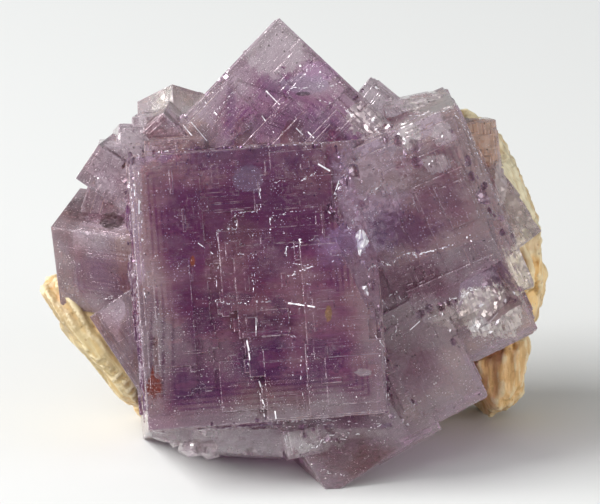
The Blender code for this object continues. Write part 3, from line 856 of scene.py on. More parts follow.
# %% [markdown]
# The fluorite finish: clear to cloudy fluorite with colour zones, as grown.
# Light goes in through the faces, is tinted by the depth that it crosses,
# and meets haze, dust and the borders of growth steps. Transmission, IOR and
# absorption are plain values, 1.434 being the index of fluorite. The colour
# under the surface comes from the crystal coordinates: a paler rim, purple
# bands that follow the faces inwards, and blotches of brown and of haze.

# %% Fluorite finish
RISE = "MapRange SMOOTHSTEP"
WARP_MM = 2.2
WARP_SIZE_MM = 6.25
fluorite_mat = new_material("zoned cloudy fluorite")
node = partial(add_node, fluorite_mat)
at, flat_at, halves, tone = (
    node("Attribute " + name).node.outputs["Vector"] for name in ("place", "flat", "half", "tone")
)
tone_purple, tone_haze, tone_brown = node("SeparateXYZ", tone).node.outputs
broken, bright, lip = (node("Attribute " + name).node.outputs["Fac"] for name in ("broken", "bright", "lip"))


def patches(coords, size_mm, low, high, least=0.0, most=1.0, detail=3.0, roughness=0.55, flat=False):
    """Give soft patches of a size, that go from least to most where noise goes from low to high."""
    kind = "TexNoise 2D" if flat else "TexNoise"
    blotches = node(kind, Vector=coords, Scale=1 / size_mm, Detail=detail, Roughness=roughness)
    return node(RISE, blotches, low, high, least, most)


def rim_of(coords):
    """Give how far a point lies from the rim of its face: the middle one of three depths."""
    depths = node("VectorMath SUBTRACT", halves, node("VectorMath ABSOLUTE", coords))
    x, y, z = node("SeparateXYZ", depths).node.outputs
    high = node("Math MAXIMUM", x, y)
    return node("Math MAXIMUM", node("Math MINIMUM", x, y), node("Math MINIMUM", high, z))


warp = node("TexNoise", Vector=at, Scale=1 / WARP_SIZE_MM, Detail=2.0).node.outputs["Color"]
warp = node("VectorMath MULTIPLY", node("VectorMath SUBTRACT", warp, (0.5,) * 3), (WARP_MM,) * 3)
rim = rim_of(node("VectorMath ADD", at, warp))
edge = rim_of(at)
print("depth below the faces:", len(fluorite_mat.node_tree.nodes), "nodes")

# %% [markdown]
# Fine growth steps. Real faces carry steps far finer than the modelled
# plates, and as geometry they would take millions of faces, so they are
# drawn. Three grids of cells, each cell at a height of its own, give the
# bump. Short dashes and worn edges are pale lines, and the lips of the
# plates are painted pale as a painted highlight.

# %% Growth steps too fine to model
GRIDS = ((4.6, 3.1), (1.7, 11.7), (0.66, 23.9))
stepped = []
for size_mm, shift in GRIDS:
    cell = node("VectorMath DIVIDE", flat_at, (size_mm, size_mm * 0.8, 1))
    cell = node("VectorMath ADD", cell, (shift, shift, 0))
    coarse = node("VectorMath FLOOR", node("VectorMath MULTIPLY", cell, (0.43, 0.37, 0)))
    jump = node("TexWhiteNoise 2D", coarse).node.outputs["Color"]
    cell = node("VectorMath ADD", cell, node("VectorMath MULTIPLY", jump, (3.0, 3.0, 0)))
    stepped.append(node("TexWhiteNoise 2D", node("VectorMath FLOOR", cell)))
height = node("Math MULTIPLY", stepped[0], 0.5)
height = node("Math ADD", height, node("Math MULTIPLY", stepped[1], 0.3))
height = node("Math ADD", height, node("Math MULTIPLY", stepped[2], 0.12))

# Dashes: cells 1.8 by 0.2 and 0.9 by 0.14 mm, both ways round, with a line in the middle of some
patchy = patches(flat_at, 4.0, 0.40, 0.62, 0.15, detail=2.0, flat=True)
dash = 0.0
for stretch, shift in (((0.55, 4.5, 1), 1), ((4.5, 0.55, 1), 5), ((1.1, 7, 1), 9), ((7, 1.1, 1), 13)):
    cell = node("VectorMath ADD", node("VectorMath MULTIPLY", flat_at, stretch), (shift,) * 3)
    cells = node("TexVoronoi 2D", Vector=cell, Scale=1.0).node.outputs
    long = node(RISE, node("Math MULTIPLY", node("SeparateXYZ", cells["Color"]), patchy), 0.45, 1.0)
    long = node("Math MULTIPLY", long, 0.34)
    dash = node("Math MAXIMUM", dash, node("Math LESS_THAN", cells["Distance"], long))
dash = node("Math MULTIPLY", dash, patches(flat_at, 0.5, 0.4, 0.6, 0.1, 0.7, detail=2.0, flat=True))
edge_wear = patches(flat_at, 1.0, 0.38, 0.6, 0.2, flat=True)
edge_wear = node("Math MULTIPLY", node(RISE, edge, 0.30, 0.06), edge_wear)
# Painted highlight: the sloping lips of the plates are painted pale in patches, as where they catch the light
lip_highlight = node("Math MULTIPLY", lip, patches(flat_at, 0.9, 0.42, 0.62, roughness=0.7, flat=True))
pale_lines_and_lip_highlight = node("Math MAXIMUM", dash, node("Math MAXIMUM", edge_wear, lip_highlight))
print("with its growth steps:", len(fluorite_mat.node_tree.nodes), "nodes")

# %% [markdown]
# Colour zones. A fluorite cube is coloured in layers, because the water that
# fed it changed as it grew. Noise alone would take no notice of the faces,
# so the depth below the nearest face drives the colour: a pale rim, then
# thin purple bands. Patches of brown and of white haze lie over them.

# %% Colour zones of the crystals
BAND_RADIANS_PER_MM = 9.0
ZONES = [(0.0, "#e2d8dc"), (0.25, "#bba3b1"), (0.5, "#a0758f"), (0.78, "#82457a"), (1.0, "#6a2e6c")]


def coat(colour, coats):
    """Lay coats over a colour, each given by its mask, its strength and its own colour."""
    for mask, strength, over in coats:
        colour = node("Mix RGBA", node("Math MULTIPLY", mask, strength), colour, over)
    return colour


bands = node(RISE, node("Math SINE", node("Math MULTIPLY", edge, BAND_RADIANS_PER_MM)), -0.2, 0.9)
bands = node("Math MULTIPLY", bands, patches(at, 9.0, 0.45, 0.58, detail=1.0))
near_edge = node("Math MULTIPLY", node(RISE, edge, 1.2, 2.4), node(RISE, edge, 6.5, 5.0))
bands = node("Math MULTIPLY", bands, near_edge)
zone = node(RISE, node(RISE, rim, 0.6, 6.5), 0, 1, 0.35)
purple = node("Math MULTIPLY", patches(at, 7.0, 0.3, 0.65, 0.45, detail=2.0), zone)
purple = node("Math ADD", purple, node("Math MULTIPLY", bands, 0.28))
purple = node("Math MULTIPLY", purple, tone_purple)
purple.node.use_clamp = True
colour = node("ValToRGB", purple)
stops = colour.node.color_ramp.elements
stops.remove(stops[1])
stops[0].color = linear(ZONES[0][1])
for position, tint in ZONES[1:]:
    stops.new(position).color = linear(tint)
brown = node("Math MULTIPLY", tone_brown, patches(at, 6.0, 0.4, 0.66, detail=2.0))
haze = node("Math MULTIPLY", tone_haze, patches(at, 4.0, 0.4, 0.68, detail=4.0, roughness=0.68))
colour = coat(colour, [(brown, 0.75, "#96685c"), (haze, 0.75, "#d6cad0"), (broken, 0.6, "#bda4c0")])
print("with its colour zones:", len(fluorite_mat.node_tree.nodes), "nodes")

# %% [markdown]
# Marks of this one specimen. Most blotches are its own: the deep purple
# heart of the main crystal, a rust stain, hazy clouds and frosted breaks.
# A few are painted light: a painted reflection of the white paper on the
# undersides, a painted glow in the thin apex of the top crystal, painted
# highlights on its raised plate and a painted reflection in the break of
# the main crystal.
# Each is a soft ellipsoid in the leaning frame, given by its centre, its
# radii, its colour and its strength, and its border is broken up by noise.

# %% Marks of this specimen, and painted light
MARKS_AND_PAINTED_LIGHT = [
    # centre, radii, colour, strength, and how opaque it makes the crystal
    ((-5.6, 1, 5.2), (11, 7, 7.5), "#622a66", 0.6, 0),
    ((-6, 1, 11.8), (14, 6, 3), "#6c3272", 0.8, 0),
    ((-7.2, 1, 2), (2.6, 4, 3), "#7d5a6c", 0.5, 0),
    ((0.5, 1, 6), (5, 6, 6), "#5c2460", 0.5, 0),
    ((-8.5, 1, -6), (8, 6, 7), "#70345e", 0.5, 0),
    ((-4.4, 1, -8.6), (4.6, 5, 1.8), "#4c1f54", 0.75, 0),
    ((-3, 1, -18), (8, 5, 3), "#8a4f50", 0.45, 0),
    ((-18.3, 1, -12), (0.4, 4, 8), "#66305e", 0.75, 0),
    ((-16.8, 1, -13), (0.4, 4, 8), "#66305e", 0.75, 0),
    ((-15.6, 1, -12), (0.35, 4, 7), "#66305e", 0.65, 0),
    ((-12.5, 1, -12.5), (1, 4, 6.5), "#6c3660", 0.6, 0),
    ((-17.9, 1, -16.6), (1.2, 4, 2.7), "#9c3c22", 0.95, 0.3),
    ((-17.7, 1, -12.5), (0.5, 4, 4), "#8a4440", 0.6, 0),
    ((-13.2, 1, -1.1), (0.35, 4, 0.7), "#b8603a", 0.9, 0.3),
    ((3.5, 1, -7.6), (0.45, 4, 1.1), "#b8945c", 0.8, 0.3),
    ((-6.5, 1, 9), (1.9, 4, 1.7), "#9c90b4", 0.55, 0.1),
    ((7.8, 1, -14.8), (1.2, 4, 0.5), "#dcd2da", 0.7, 0.3),
    ((3.9, 1, 0.3), (2.6, 4, 2.2), "#b495cc", 0.5, 0),
    ((8.6, 3, 7), (4.6, 5, 8.5), "#cdb6d4", 0.8, 0.25),
    ((5.6, 1, 1.4), (3, 5, 1.8), "#bb9ace", 0.7, 0.15),
    # Painted reflection: a bright bluish white spot in the break of the main crystal
    ((7.7, 1, 1.2), (0.9, 4, 1.4), "#f0eaff", 1, 0.9),
    ((8.1, 1, -4.8), (0.3, 4, 0.6), "#ece4f0", 0.8, 0.5),
    ((-20.4, 1, 6.4), (1.1, 4, 6), "#cfc0ce", 0.6, 0.3),
    # Painted reflection of the white paper on the undersides, and painted light through the pale crystals
    # below
    ((-9, 9, -23.6), (14, 14, 2), "#fffafa", 1, 0.3),
    ((-18.2, 6, 15.8), (1.7, 7, 1.5), "#7c5a66", 0.95, 0.9),
    ((-16.4, 5, 13.9), (3, 6, 1.5), "#a8848c", 0.8, 0.3),
    ((-22, 9, 8.6), (3.6, 7, 3), "#a68e9a", 0.6, 0.3),
    ((-26, 10, 5.6), (4, 8, 2.2), "#7a5a62", 0.7, 0.3),
    ((-23.6, 9, 11.2), (2.6, 8, 1.6), "#8f7680", 0.6, 0.25),
    ((-22.5, 8, -3), (6, 7, 4), "#86707c", 0.4, 0.1),
    # Painted reflection of the white paper on the underside of the main crystal
    ((4, 9, -22.4), (8, 11, 0.8), "#d8ccce", 0.7, 0.4),
    ((8.6, 4, 16.4), (3, 7, 2.4), "#d6cccc", 0.8, 0.6),
    ((9.2, 4, 11), (3.4, 7, 4), "#c4b4bc", 0.6, 0.3),
    ((13.4, 4, 14.4), (1.4, 7, 1.9), "#e2dada", 0.8, 0.6),
    ((17.5, 5, 14.6), (1.5, 7, 1.5), "#cfc4c8", 0.6, 0.5),
    ((16.9, 5, 10.9), (1.8, 7, 1.3), "#cfc4c8", 0.6, 0.5),
    ((12, 5, 8), (3, 7, 1.6), "#b8a8b4", 0.6, 0.3),
    ((13, 5, 3), (5.4, 6, 3.2), "#6e3e74", 0.8, 0),
    ((16.5, 6, 6.5), (5, 6, 5), "#8a668a", 0.5, 0),
    ((14.5, 6, -3.6), (5, 6, 2.8), "#7c4460", 0.6, 0),
    ((13.5, 5, 9), (3.6, 6, 1.6), "#b4a2a8", 0.5, 0.2),
    ((14, 6, -9), (6, 7, 3.4), "#b8acb2", 0.5, 0.15),
    ((-23.4, 9, 3.9), (1.6, 6, 1), "#3a2822", 0.9, 0.5),
    ((24, 6, -7.3), (4.6, 8, 3.8), "#e6ddd6", 0.9, 0.75),
    ((22.2, 6, -9), (1.6, 8, 1), "#f4f2f4", 0.9, 0.9),
    ((19, 6, -8), (3, 8, 1.8), "#c2b2ae", 0.7, 0.45),
    # Painted light: the thin apex of the top crystal is painted pale, as where light shines through it
    ((-2.9, 6, 26.4), (4.4, 8, 4.6), "#e2dadc", 0.85, 0.15),
    # Painted highlights, pink and lavender, on the raised plate of the top crystal
    ((2.4, 6, 22.4), (2.6, 6, 1.4), "#cfa6d0", 0.6, 0.1),
    ((0.8, 6, 20.8), (3, 6, 1.2), "#b9b0c4", 0.6, 0.1),
    ((0.4, 6, 19.6), (0.9, 5, 0.25), "#3c3038", 0.85, 0.4),
    ((-1, 7, 15.8), (5.5, 5, 2.4), "#5a2a5c", 0.6, 0),
    ((-14, 15, 18.4), (5, 7, 3.4), "#e8e4e0", 1, 0.35),
    ((-8.6, 7, 18.2), (0.7, 6, 3.6), "#64346a", 0.5, 0),
    ((23.1, 12, 14), (3, 8, 3.6), "#f0ccb6", 0.95, 0.55),
    ((27.5, 11, 4.6), (2.6, 8, 4), "#d8cabc", 0.7, 0.5),
    ((28, 9, -1.2), (2.6, 9, 3.8), "#efe4d0", 0.9, 0.75),
    ((24.9, 10, 8.6), (0.8, 8, 3.2), "#eee4e2", 0.8, 0.6),
    ((6.5, 3, -25.5), (5, 8, 3.5), "#7a4a4c", 0.55, 0),
    ((-25.8, 10, -8.4), (1.6, 8, 1.6), "#a8703e", 0.5, 0),
    ((16.2, 7, 18.5), (4, 8, 1.4), "#dedad6", 0.85, 0.65),
]
FACET_MM = 0.5
FIBRE_STRETCH = (0.35, 3.0, 0)
RAGGED_MM = 1.6


def leaning_place():
    """Give the place in the leaning frame in millimetres, from the object's own coordinates."""
    own = node("TexCoord").node.outputs["Object"]
    inverse = lean.inverted()
    return node("Mapping", own, inverse.to_translation() / MM, inverse.to_euler(), (1 / MM,) * 3)


def reach_of(place, centre, radii):
    """Give how far a place lies from a centre, counted in radii."""
    offset = node("VectorMath DIVIDE", node("VectorMath SUBTRACT", place, centre), radii)
    return node("VectorMath LENGTH", offset)


leaning = leaning_place()
facets = node("TexVoronoi 2D", Vector=flat_at, Scale=1 / FACET_MM).node.outputs
facet_shade = node("SeparateXYZ", facets["Color"]).node.outputs["Y"]
fibres = node("VectorMath MULTIPLY", flat_at, FIBRE_STRETCH)
fibres = patches(fibres, 0.6, 0.36, 0.60, 0.5, flat=True)
frost = node("Math MULTIPLY", fibres, node(RISE, facet_shade, 0.0, 0.8, 0.6))
ragged = node("TexNoise", Vector=at, Scale=1 / RAGGED_MM, Detail=4.0, Roughness=0.8)
ragged = node("Math MULTIPLY", node("Math SUBTRACT", ragged, 0.5), 1.7)
opaque = node("Math MULTIPLY", haze, 0.22)
for centre, radii, tint, strength, body in MARKS_AND_PAINTED_LIGHT:
    reach = node("Math ADD", reach_of(leaning, centre, radii), ragged)
    inside = node(RISE, reach, 1.1, 0.85 if body else 0.45)
    if body:
        inside = node("Math MULTIPLY", inside, node("Math MULTIPLY_ADD", frost, body, 1 - body))
        opaque = node("Math MAXIMUM", opaque, node("Math MULTIPLY", inside, body))
    colour = coat(colour, [(inside, strength, tint)])
print(len(MARKS_AND_PAINTED_LIGHT), "marks")

# %% [markdown]
# Lines, dust and grains. White dust lies on the faces and dark grains are
# caught in them. Random cells give each dot a place and a width of its own,
# and keep some cells empty. Real dust is finer, and is drawn as coarse as it
# needs to be to show.

# %% Light lines, dust and dark grains
SHAKE_MM = 1 / 9


def dots(coords, size_mm, share, widest):
    """Give dots in cells of a size, in a share of the cells, up to a share of a cell wide."""
    cells = node("TexVoronoi 2D", Vector=coords, Scale=1 / size_mm).node.outputs
    width = node(RISE, node("SeparateXYZ", cells["Color"]), 1 - share, 1.0, 0.0, widest)
    return node("Math LESS_THAN", cells["Distance"], width)


shake = node("TexNoise 2D", Vector=flat_at, Scale=1 / SHAKE_MM, Detail=1.0).node.outputs["Color"]
shaken = node("VectorMath ADD", flat_at, node("VectorMath MULTIPLY", shake, (0.22, 0.22, 0)))
fine = node("Math MULTIPLY", dots(shaken, 0.3, 0.6, 0.16), 0.75)
speck = node("Math MAXIMUM", dots(shaken, 0.8, 0.45, 0.085), fine)
speck = node("Math MULTIPLY", speck, patches(flat_at, 2.5, 0.38, 0.62, 0.2, detail=2.0, flat=True))
grain = dots(node("VectorMath ADD", shaken, (7.7, 3.1, 0)), 0.8, 0.5, 0.13)
grain = node("Math MULTIPLY", grain, patches(at, 5.0, 0.42, 0.56, detail=1.0))
# Pale lines with the painted highlight on the plate lips, white dust, dark grains and bright flaws
colour = coat(colour, [
    (pale_lines_and_lip_highlight, 0.45, "#e6d6e2"), (lip_highlight, 0.4, "#f2e8f0"), (speck, 1.0, "#fbf6f8"),
    (grain, 0.8, "#2c1a1c"), (bright, 0.95, "#fcfaff"),
])
print("with its dust and grains:", len(fluorite_mat.node_tree.nodes), "nodes")

# %% [markdown]
# What is opaque. Dust, frosted breaks and open flakes hide what lies behind
# them. The transmission is one plain value, so these are drawn with the
# metallic value instead: a rough pale metal is as bright as frost and lets
# nothing through. Broken places are tilted facet by facet to sparkle.

# %% Fluorite gloss, bump and clearness
STEP_BUMP_MM = 0.12
FACET_BUMP_MM = 0.8
for mask, share in ((pale_lines_and_lip_highlight, 0.22), (lip_highlight, 0.32), (speck, 0.75), (grain, 0.6), (bright, 1), (broken, 0.28)):
    opaque = node("Math MAXIMUM", opaque, node("Math MULTIPLY", mask, share))
rough = node("Math ADD", 0.08, node("Math MULTIPLY", haze, 0.16))
rough = node("Math ADD", rough, node("Math MULTIPLY", opaque, 0.45))
tilt = node("VectorMath SUBTRACT", facets["Color"], (0.5,) * 3)
tilt = node("VectorMath MULTIPLY", tilt, node("VectorMath SUBTRACT", flat_at, facets["Position"]))
tilt = node("VectorMath DOT_PRODUCT", tilt, (1, 1, 0))
shattered = node("Math MAXIMUM", node("Math MULTIPLY", broken, 0.6), node("Math MINIMUM", opaque, 0.8))
bump = node("Bump", Height=height, Distance=STEP_BUMP_MM * MM, Strength=1.0)
bump = node("Bump", Height=tilt, Distance=FACET_BUMP_MM * MM, Strength=shattered, Normal=bump)
absorb = node("VolumeAbsorption", Color=(0.66, 0.40, 0.66, 1), Density=32.0)
feed(fluorite_mat, fluorite_mat.node_tree.nodes["Material Output"].inputs["Volume"], absorb)
dress(fluorite, fluorite_mat, {
    "Base Color": colour, "Roughness": rough, "Metallic": opaque, "Normal": bump,
    "IOR": 1.434, "Transmission Weight": 0.7,
})
print("fluorite finish:", len(fluorite_mat.node_tree.nodes), "nodes")

# %% [markdown]
# The baryte. Behind and beside the fluorite stands a cockscomb of baryte:
# thin cream blades in fans, each a stack of leaves with frayed rims. One
# leaf is modelled from a flat cylinder whose two ends are inset and raised,
# which thins its rim. It is copied twice for every blade, stretched to the
# blade's size, and its rim is frayed with noise.

# %% One leaf of baryte
RIM_POINTS = 36
bpy.ops.object.select_all(action="DESELECT")
bpy.ops.mesh.primitive_cylinder_add(vertices=RIM_POINTS, radius=1.0, depth=0.5, end_fill_type="NGON")
edit_faces(lambda normal: abs(normal.z) > FACING)
for inset, rise in ((0.06, 0.16), (0.16, 0.09), (0.28, 0.0)):
    bpy.ops.mesh.inset(thickness=inset)
    bpy.ops.transform.resize(value=(1, 1, 1 + rise * 2))
bpy.ops.mesh.poke()
bpy.ops.object.mode_set(mode="OBJECT")
leaf = mesh_alone(bpy.context.object)
leaf_points = np.array([v.co for v in leaf.vertices])
leaf_points[:, 2] /= leaf_points[:, 2].max()
print("baryte leaf:", len(leaf.polygons), "faces")

# %% [markdown]
# Fans. Blades of baryte turn a little from one to the next, like the pages
# of an open book. Each fan is given by its first and its last blade, and
# those between are worked out from the two. Every blade has a small turn of
# its own as well, so no two copies of the leaf look alike.

# %% Fans of blades
FANS = [
    # name, blades, twist in degrees, how knobbly, then the first and the last blade: centre, turn and size
    ("left_tips", 5, 2.5, 0, ((-24.2, 20.5, -10.7), (86, 57, 0), (18.4, 1.1, 13)),
     ((-26.5, 20.5, -11.7), (88, 53, 0), (20.6, 1.1, 13.6))),
    ("left_fan", 4, 2.5, 0, ((-25.4, 20.5, -12.4), (87, 49, 0), (17, 1.1, 13)),
     ((-24.4, 20.8, -14.1), (90, 41, 0), (13, 1.1, 13))),
    ("crest_top", 3, 4, 0.9, ((20, 21, 16), (86, 45, 0), (6.5, 1.3, 12)),
     ((24.4, 22, 13.2), (94, 60, 6), (8, 1.3, 12))),
    ("crest_high", 6, 7, 0.9, ((23.4, 21, 8.6), (84, 60, 0), (15, 1.3, 13)),
     ((27, 22.5, 8.8), (98, 68, 8), (14.5, 1.2, 12))),
    ("crest_middle", 5, 8, 0.9, ((26, 21, -0.6), (80, 84, 0), (11, 1.2, 14)),
     ((29.3, 22.5, -1), (100, 90, 10), (9, 1.2, 12))),
    ("crest_low", 5, 8, 0.9, ((25.2, 24, -7), (80, 95, 0), (12, 1.4, 12)),
     ((29.6, 25, -5.4), (104, 100, 8), (8, 1.2, 11))),
    ("lobe", 8, 6, 0.3, ((22.8, 26, -16.8), (86, 68, 0), (8, 1.4, 13)),
     ((27.2, 26, -14.8), (94, 106, 8), (10, 1.3, 13))),
    ("heel", 8, 12, 0.3, ((-17, 28.5, -16.6), (10, 20, 56), (9, 1.8, 11)),
     ((12, 30, -17), (-10, -20, 118), (8, 1.8, 10))),
    ("back_low", 8, 15, 0.3, ((-17, 30, -9), (0, 30, 50), (12, 1.8, 14)),
     ((19, 30.5, -10), (10, -24, 126), (12, 1.7, 13))),
    ("back_middle", 8, 17, 0.3, ((-15, 30, -2), (10, 60, 64), (13, 1.8, 13)),
     ((19, 31, -1), (-12, -50, 118), (12, 1.7, 13))),
    ("back_high", 8, 15, 0.3, ((-14, 29, 7), (0, 20, 54), (12, 1.8, 12)),
     ((18, 30, 8), (0, -30, 122), (11, 1.7, 12))),
    ("rim_high", 6, 18, 0.3, ((-13, 26.5, 11.4), (10, 70, 80), (9, 1.8, 10)),
     ((16, 27.5, 11), (-10, 110, 100), (8, 1.8, 10))),
]
LEAVES = 2
LEAF_SHARES = (0.84, 1.0)
SLIDE_MM = 0.5
# Waves around the rim of a leaf, and how deep they cut it
FRAYS = ((2.2, 0.16), (7, 0.10))
leaves = []
fan_places = []
fan_sizes = []


def add_leaf(place, size, seed, fraying):
    """Stretch and fray a copy of the leaf, and note the fan that it belongs to."""
    angle = np.arctan2(leaf_points[:, 1], leaf_points[:, 0])
    radius = np.hypot(leaf_points[:, 0], leaf_points[:, 1])
    square = 1 / (np.abs(np.cos(angle)) ** 4 + np.abs(np.sin(angle)) ** 4) ** 0.25
    fray = np.array([
        sum(
            noise.noise(Vector((math.cos(a) * waves, math.sin(a) * waves, seed))) * deep
            for waves, deep in FRAYS
        )
        for a in angle
    ])
    reach = radius * (1 + (square - 1) * 0.7) * (1 + fray * radius * fraying)
    along, wide = np.cos(angle) * reach * size[0] / 2, np.sin(angle) * reach * size[2] / 2
    bend = np.array([noise.noise(Vector((a * 0.16, b * 0.16, seed))) * 0.7 for a, b in zip(along, wide)])
    local = np.c_[along, leaf_points[:, 2] * size[1] / 2 + bend, wide]
    mesh = leaf.copy()
    mesh.vertices.foreach_set("co", (local * MM).ravel())
    mesh.transform(place)
    store(mesh, "fan", "INT", "POINT", np.full(len(local), len(fan_places) - 1))
    leaves.append(bpy.data.objects.new("leaf", mesh))
    bpy.context.scene.collection.objects.link(leaves[-1])


rng = random.Random(19)
for name, count, twist, knobs, first, last in FANS:
    centre, turn, size = (Vector(a).lerp(Vector(b), 0.5) for a, b in zip(first, last))
    fan_places.append(placed(centre, turn))
    fan_sizes.append(size)
    for i in range(count):
        centre, turn, size = (Vector(a).lerp(Vector(b), i / (count - 1)) for a, b in zip(first, last))
        turn += Vector(rng.uniform(-1, 1) * twist for axis in range(3))
        for k in range(LEAVES):
            offset = (k - (LEAVES - 1) / 2) * size[1] * 0.4
            slide = Vector((rng.uniform(-SLIDE_MM, SLIDE_MM), offset, rng.uniform(-SLIDE_MM, SLIDE_MM)))
            shrink = rng.uniform(*LEAF_SHARES)
            place = placed(centre, turn) @ Matrix.Translation(slide * MM)
            leaf_size = (size[0] * shrink, size[1] * 0.85, size[2] * shrink)
            add_leaf(place, leaf_size, rng.uniform(0, 900), min(1, twist / 5))
print(len(leaves), "leaves in the fans", [row[0] for row in FANS])

# %% [markdown]
# The body of the baryte. The blades grow out of a lump of the same mineral,
# which only shows between them at the back. It is a block, subdivided and
# roughened with noise so that no flat wall shows.

# %% Body of the baryte
MASS_MM = (44.0, 7.6, 32.0)
MASS_CUTS = 28
MASS_KNOBS = 0.3
ROUGH_MM = 0.9
mass_place = placed((2.4, 25.6, -3.4), (0, -6, 2))
baryte = open_cube("baryte_blades", MASS_MM)
bpy.ops.mesh.subdivide(number_cuts=MASS_CUTS)
bpy.ops.object.mode_set(mode="OBJECT")
local = np.array([v.co / MM for v in baryte.data.vertices])
limit = np.array(MASS_MM) / 2
for i, point in enumerate(local):
    rough = noise.fractal(Vector(point) * 0.28, 0.6, 2.2, 4) * ROUGH_MM
    near_corner = np.sort(limit - np.abs(point))[:2].sum()
    local[i] = point * (1 - max(0, 1.6 - near_corner) * 0.03) * (1 + rough * 0.03)
    local[i] += np.array((0, rough * 0.9, 0))
baryte.data.vertices.foreach_set("co", (local * MM).ravel())
baryte.data.transform(mass_place)
store(baryte.data, "fan", "INT", "POINT", np.full(len(local), len(FANS)))
fan_places.append(mass_place)
fan_sizes.append(MASS_MM)
print("body of", len(local), "points")

# %% [markdown]
# One crust. Baryte blades grow into each other, so the leaves and the body
# are fused by a voxel remesh, which leaves soft grooves where they meet. Each
# point then looks up the fan that it came from: its place in that fan drives
# the ridges along the blades, and the pattern of the finish.

# %% Fuse the baryte
VOXEL_MM = 0.37
RIDGE_MM = 0.34
# Waves in a millimetre along a blade, through it and across it, and a step from fan to fan:
# broad ridges, fine ridges and knobs
RIDGES = ((0.10, 0.8, 0.9, 9.1), (0.3, 2.0, 2.0, 5.3), (0.9, 1.1, 1.1, 3.7))
FINE_SHARE = 0.6

select_only(baryte, *leaves)
bpy.ops.object.join()
fan_of = read(baryte.data.attributes["fan"].data, "value", kind="i")
tree = kdtree.KDTree(len(fan_of))
for i, point in enumerate(read(baryte.data.vertices, "co", 3)):
    tree.insert(point, i)
tree.balance()
apply_modifier(baryte, "Fuse", "REMESH", mode="VOXEL", voxel_size=VOXEL_MM * MM)
apply_modifier(baryte, "Soften", "SMOOTH", factor=0.5, iterations=5)

points = read(baryte.data.vertices, "co", 3)
nearest = np.array([fan_of[tree.find(point)[1]] for point in points])
inverses = np.array([np.array(place.inverted()) for place in fan_places])
local = np.einsum("nij,nj->ni", inverses[nearest], np.c_[points, np.ones(len(points))])[:, :3] / MM
crest = np.abs(local / (np.array(fan_sizes)[nearest] / 2))[:, (0, 2)].max(1)
knobs = [row[3] for row in FANS] + [MASS_KNOBS]


def ridge(x, y, z, fan):
    """Give how far a point of a fan stands out, as a share of the ridge height."""
    strengths = (1, FINE_SHARE, knobs[fan])
    return sum(
        strength * noise.noise(Vector((x * a, y * b, z * c + fan * step)))
        for strength, (a, b, c, step) in zip(strengths, RIDGES)
    )


ridges = np.array([ridge(*place, fan) for place, fan in zip(local, nearest)])
points = points + read(baryte.data.vertices, "normal", 3) * (ridges * RIDGE_MM * MM)[:, None]
points[:, 2] = np.maximum(points[:, 2], 0)
baryte.data.vertices.foreach_set("co", points.astype("f").ravel())
baryte.data.update()

# How far each point stands proud of an evened-out copy: crests are above it and grooves below
smooth = baryte.copy()
smooth.data = baryte.data.copy()
bpy.context.scene.collection.objects.link(smooth)
apply_modifier(smooth, "Even", "SMOOTH", factor=0.5, iterations=12)
above = points - read(smooth.data.vertices, "co", 3)
proud = np.einsum("ni,ni->n", above, read(baryte.data.vertices, "normal", 3)) / MM
bpy.data.objects.remove(smooth)
store(baryte.data, "blade", "FLOAT_VECTOR", "POINT", local + np.c_[nearest * 3.1, nearest * 0, nearest * 1.7])
store(baryte.data, "crest", "FLOAT", "POINT", crest)
store(baryte.data, "proud", "FLOAT", "POINT", proud)
select_only(baryte)
bpy.ops.object.shade_smooth()
low, high = np.percentile(proud, (5, 95)).round(3)
print("baryte:", len(baryte.data.polygons), "faces; grooves", low, "mm, crests", high, "mm")

# %% [markdown]
# The baryte finish: cream to tan baryte, satin on its blades and chalky on
# their rims. Iron has stained it along the leaves, so the tan runs in
# streaks down each blade. The tan in the grooves between the blades is
# painted shade, the paler crests are a painted highlight, and pale patches
# on the right side are painted light where it faces away from the window.

# %% Baryte finish
STAINS_AND_PAINTED_LIGHT = [
    # centre in the leaning frame, radii, colour and strength
    # The first four are pale cream, as the crests are, and painted lighter still: painted light on the right
    # side, which faces away from the window
    ((28, 15, 7), (6, 10, 9), "#efe6c6", 0.85),
    ((22, 15, 16), (5, 10, 4), "#eadfba", 0.7),
    ((29.5, 18, -5), (3.6, 14, 5), "#f8cf8a", 0.9),
    ((24.5, 18, -15), (4.5, 14, 6), "#f2c07c", 0.75),
    # The last three are an iron stain and the olive tan of the left fan
    ((-25, 16, -8.6), (2.4, 10, 2.4), "#b87c40", 0.75),
    ((-27, 16, -13), (8, 12, 8), "#b5a274", 0.85),
    ((-29.6, 16, -6.4), (4, 12, 4.6), "#a48c64", 0.8),
]
STREAKS_PER_MM = (0.18, 1.6, 1.6)
STAIN_MM = 5.0
GRIT_MM = 0.5
PIT_MM = 1.3
GRAIN_BUMP_MM = 0.22
baryte_mat = new_material("iron stained cream baryte")
node = partial(add_node, baryte_mat)
blade_at = node("Attribute blade").node.outputs["Vector"]
crest, proud = (node("Attribute " + name).node.outputs["Fac"] for name in ("crest", "proud"))
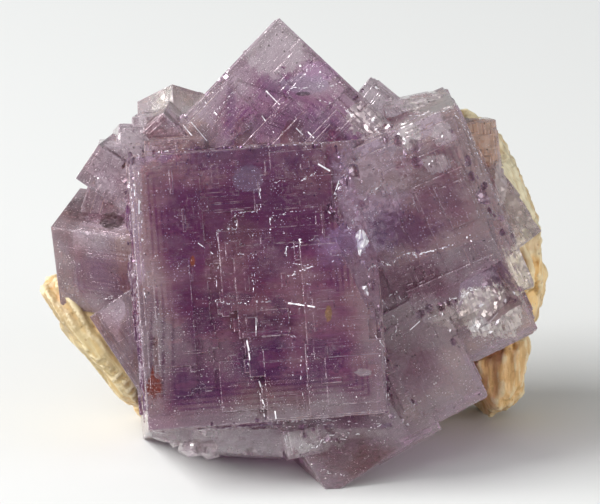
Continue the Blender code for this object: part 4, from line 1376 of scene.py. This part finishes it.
along_blade = node("VectorMath MULTIPLY", blade_at, STREAKS_PER_MM)
streaks = node("TexNoise", Vector=along_blade, Scale=1.0, Detail=5.0, Roughness=0.55)
stain = node("TexNoise", Vector=blade_at, Scale=1 / STAIN_MM, Detail=4.0, Roughness=0.55)
colour = node("Mix RGBA", node(RISE, streaks, 0.35, 0.65), "#ead8b0", "#d8b47a")
colour = coat(colour, [(node(RISE, stain, 0.45, 0.64), 0.5, "#cc9450")])
leaning = leaning_place()
for centre, radii, tint, strength in STAINS_AND_PAINTED_LIGHT:
    reach = node("Math ADD", reach_of(leaning, centre, radii), node("Math SUBTRACT", stain, 0.5))
    colour = node("Mix RGBA", node(RISE, reach, 1.2, 0.5, 0.0, strength), colour, tint)
colour = node("Mix RGBA", node(RISE, streaks, 0.47, 0.62, 0.0, 0.35), colour, "#b8965a")
# Painted highlight: the crests that stand proud are painted paler
colour = node("Mix RGBA", node(RISE, proud, 0.03, 0.14, 0.0, 0.65), colour, "#f0e2bc")
# Painted shade: the grooves between the blades are painted tan
colour = node("Mix RGBA", node(RISE, proud, -0.03, -0.16, 0.0, 0.55), colour, "#c08a4a")
pits = node("Math LESS_THAN", node("TexVoronoi", Vector=blade_at, Scale=1 / PIT_MM), 0.13)
colour = coat(colour, [(pits, 0.4, "#8a5c30")])
grit = node("TexNoise", Vector=blade_at, Scale=1 / GRIT_MM, Detail=4.0, Roughness=0.55)
height = node("Math ADD", streaks, node("Math MULTIPLY", grit, 0.4))
dress(baryte, baryte_mat, {
    "Base Color": colour, "Roughness": node(RISE, crest, 0.5, 1.0, 0.36, 0.55), "IOR": 1.64,
    "Normal": node("Bump", Height=height, Distance=GRAIN_BUMP_MM * MM, Strength=1.0),
})
print("baryte finish:", len(baryte_mat.node_tree.nodes), "nodes")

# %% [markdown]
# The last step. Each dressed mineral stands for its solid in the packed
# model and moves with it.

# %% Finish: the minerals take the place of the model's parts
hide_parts("baryte")
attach(baryte, "root")
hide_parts("fluorite")
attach(fluorite, "root")
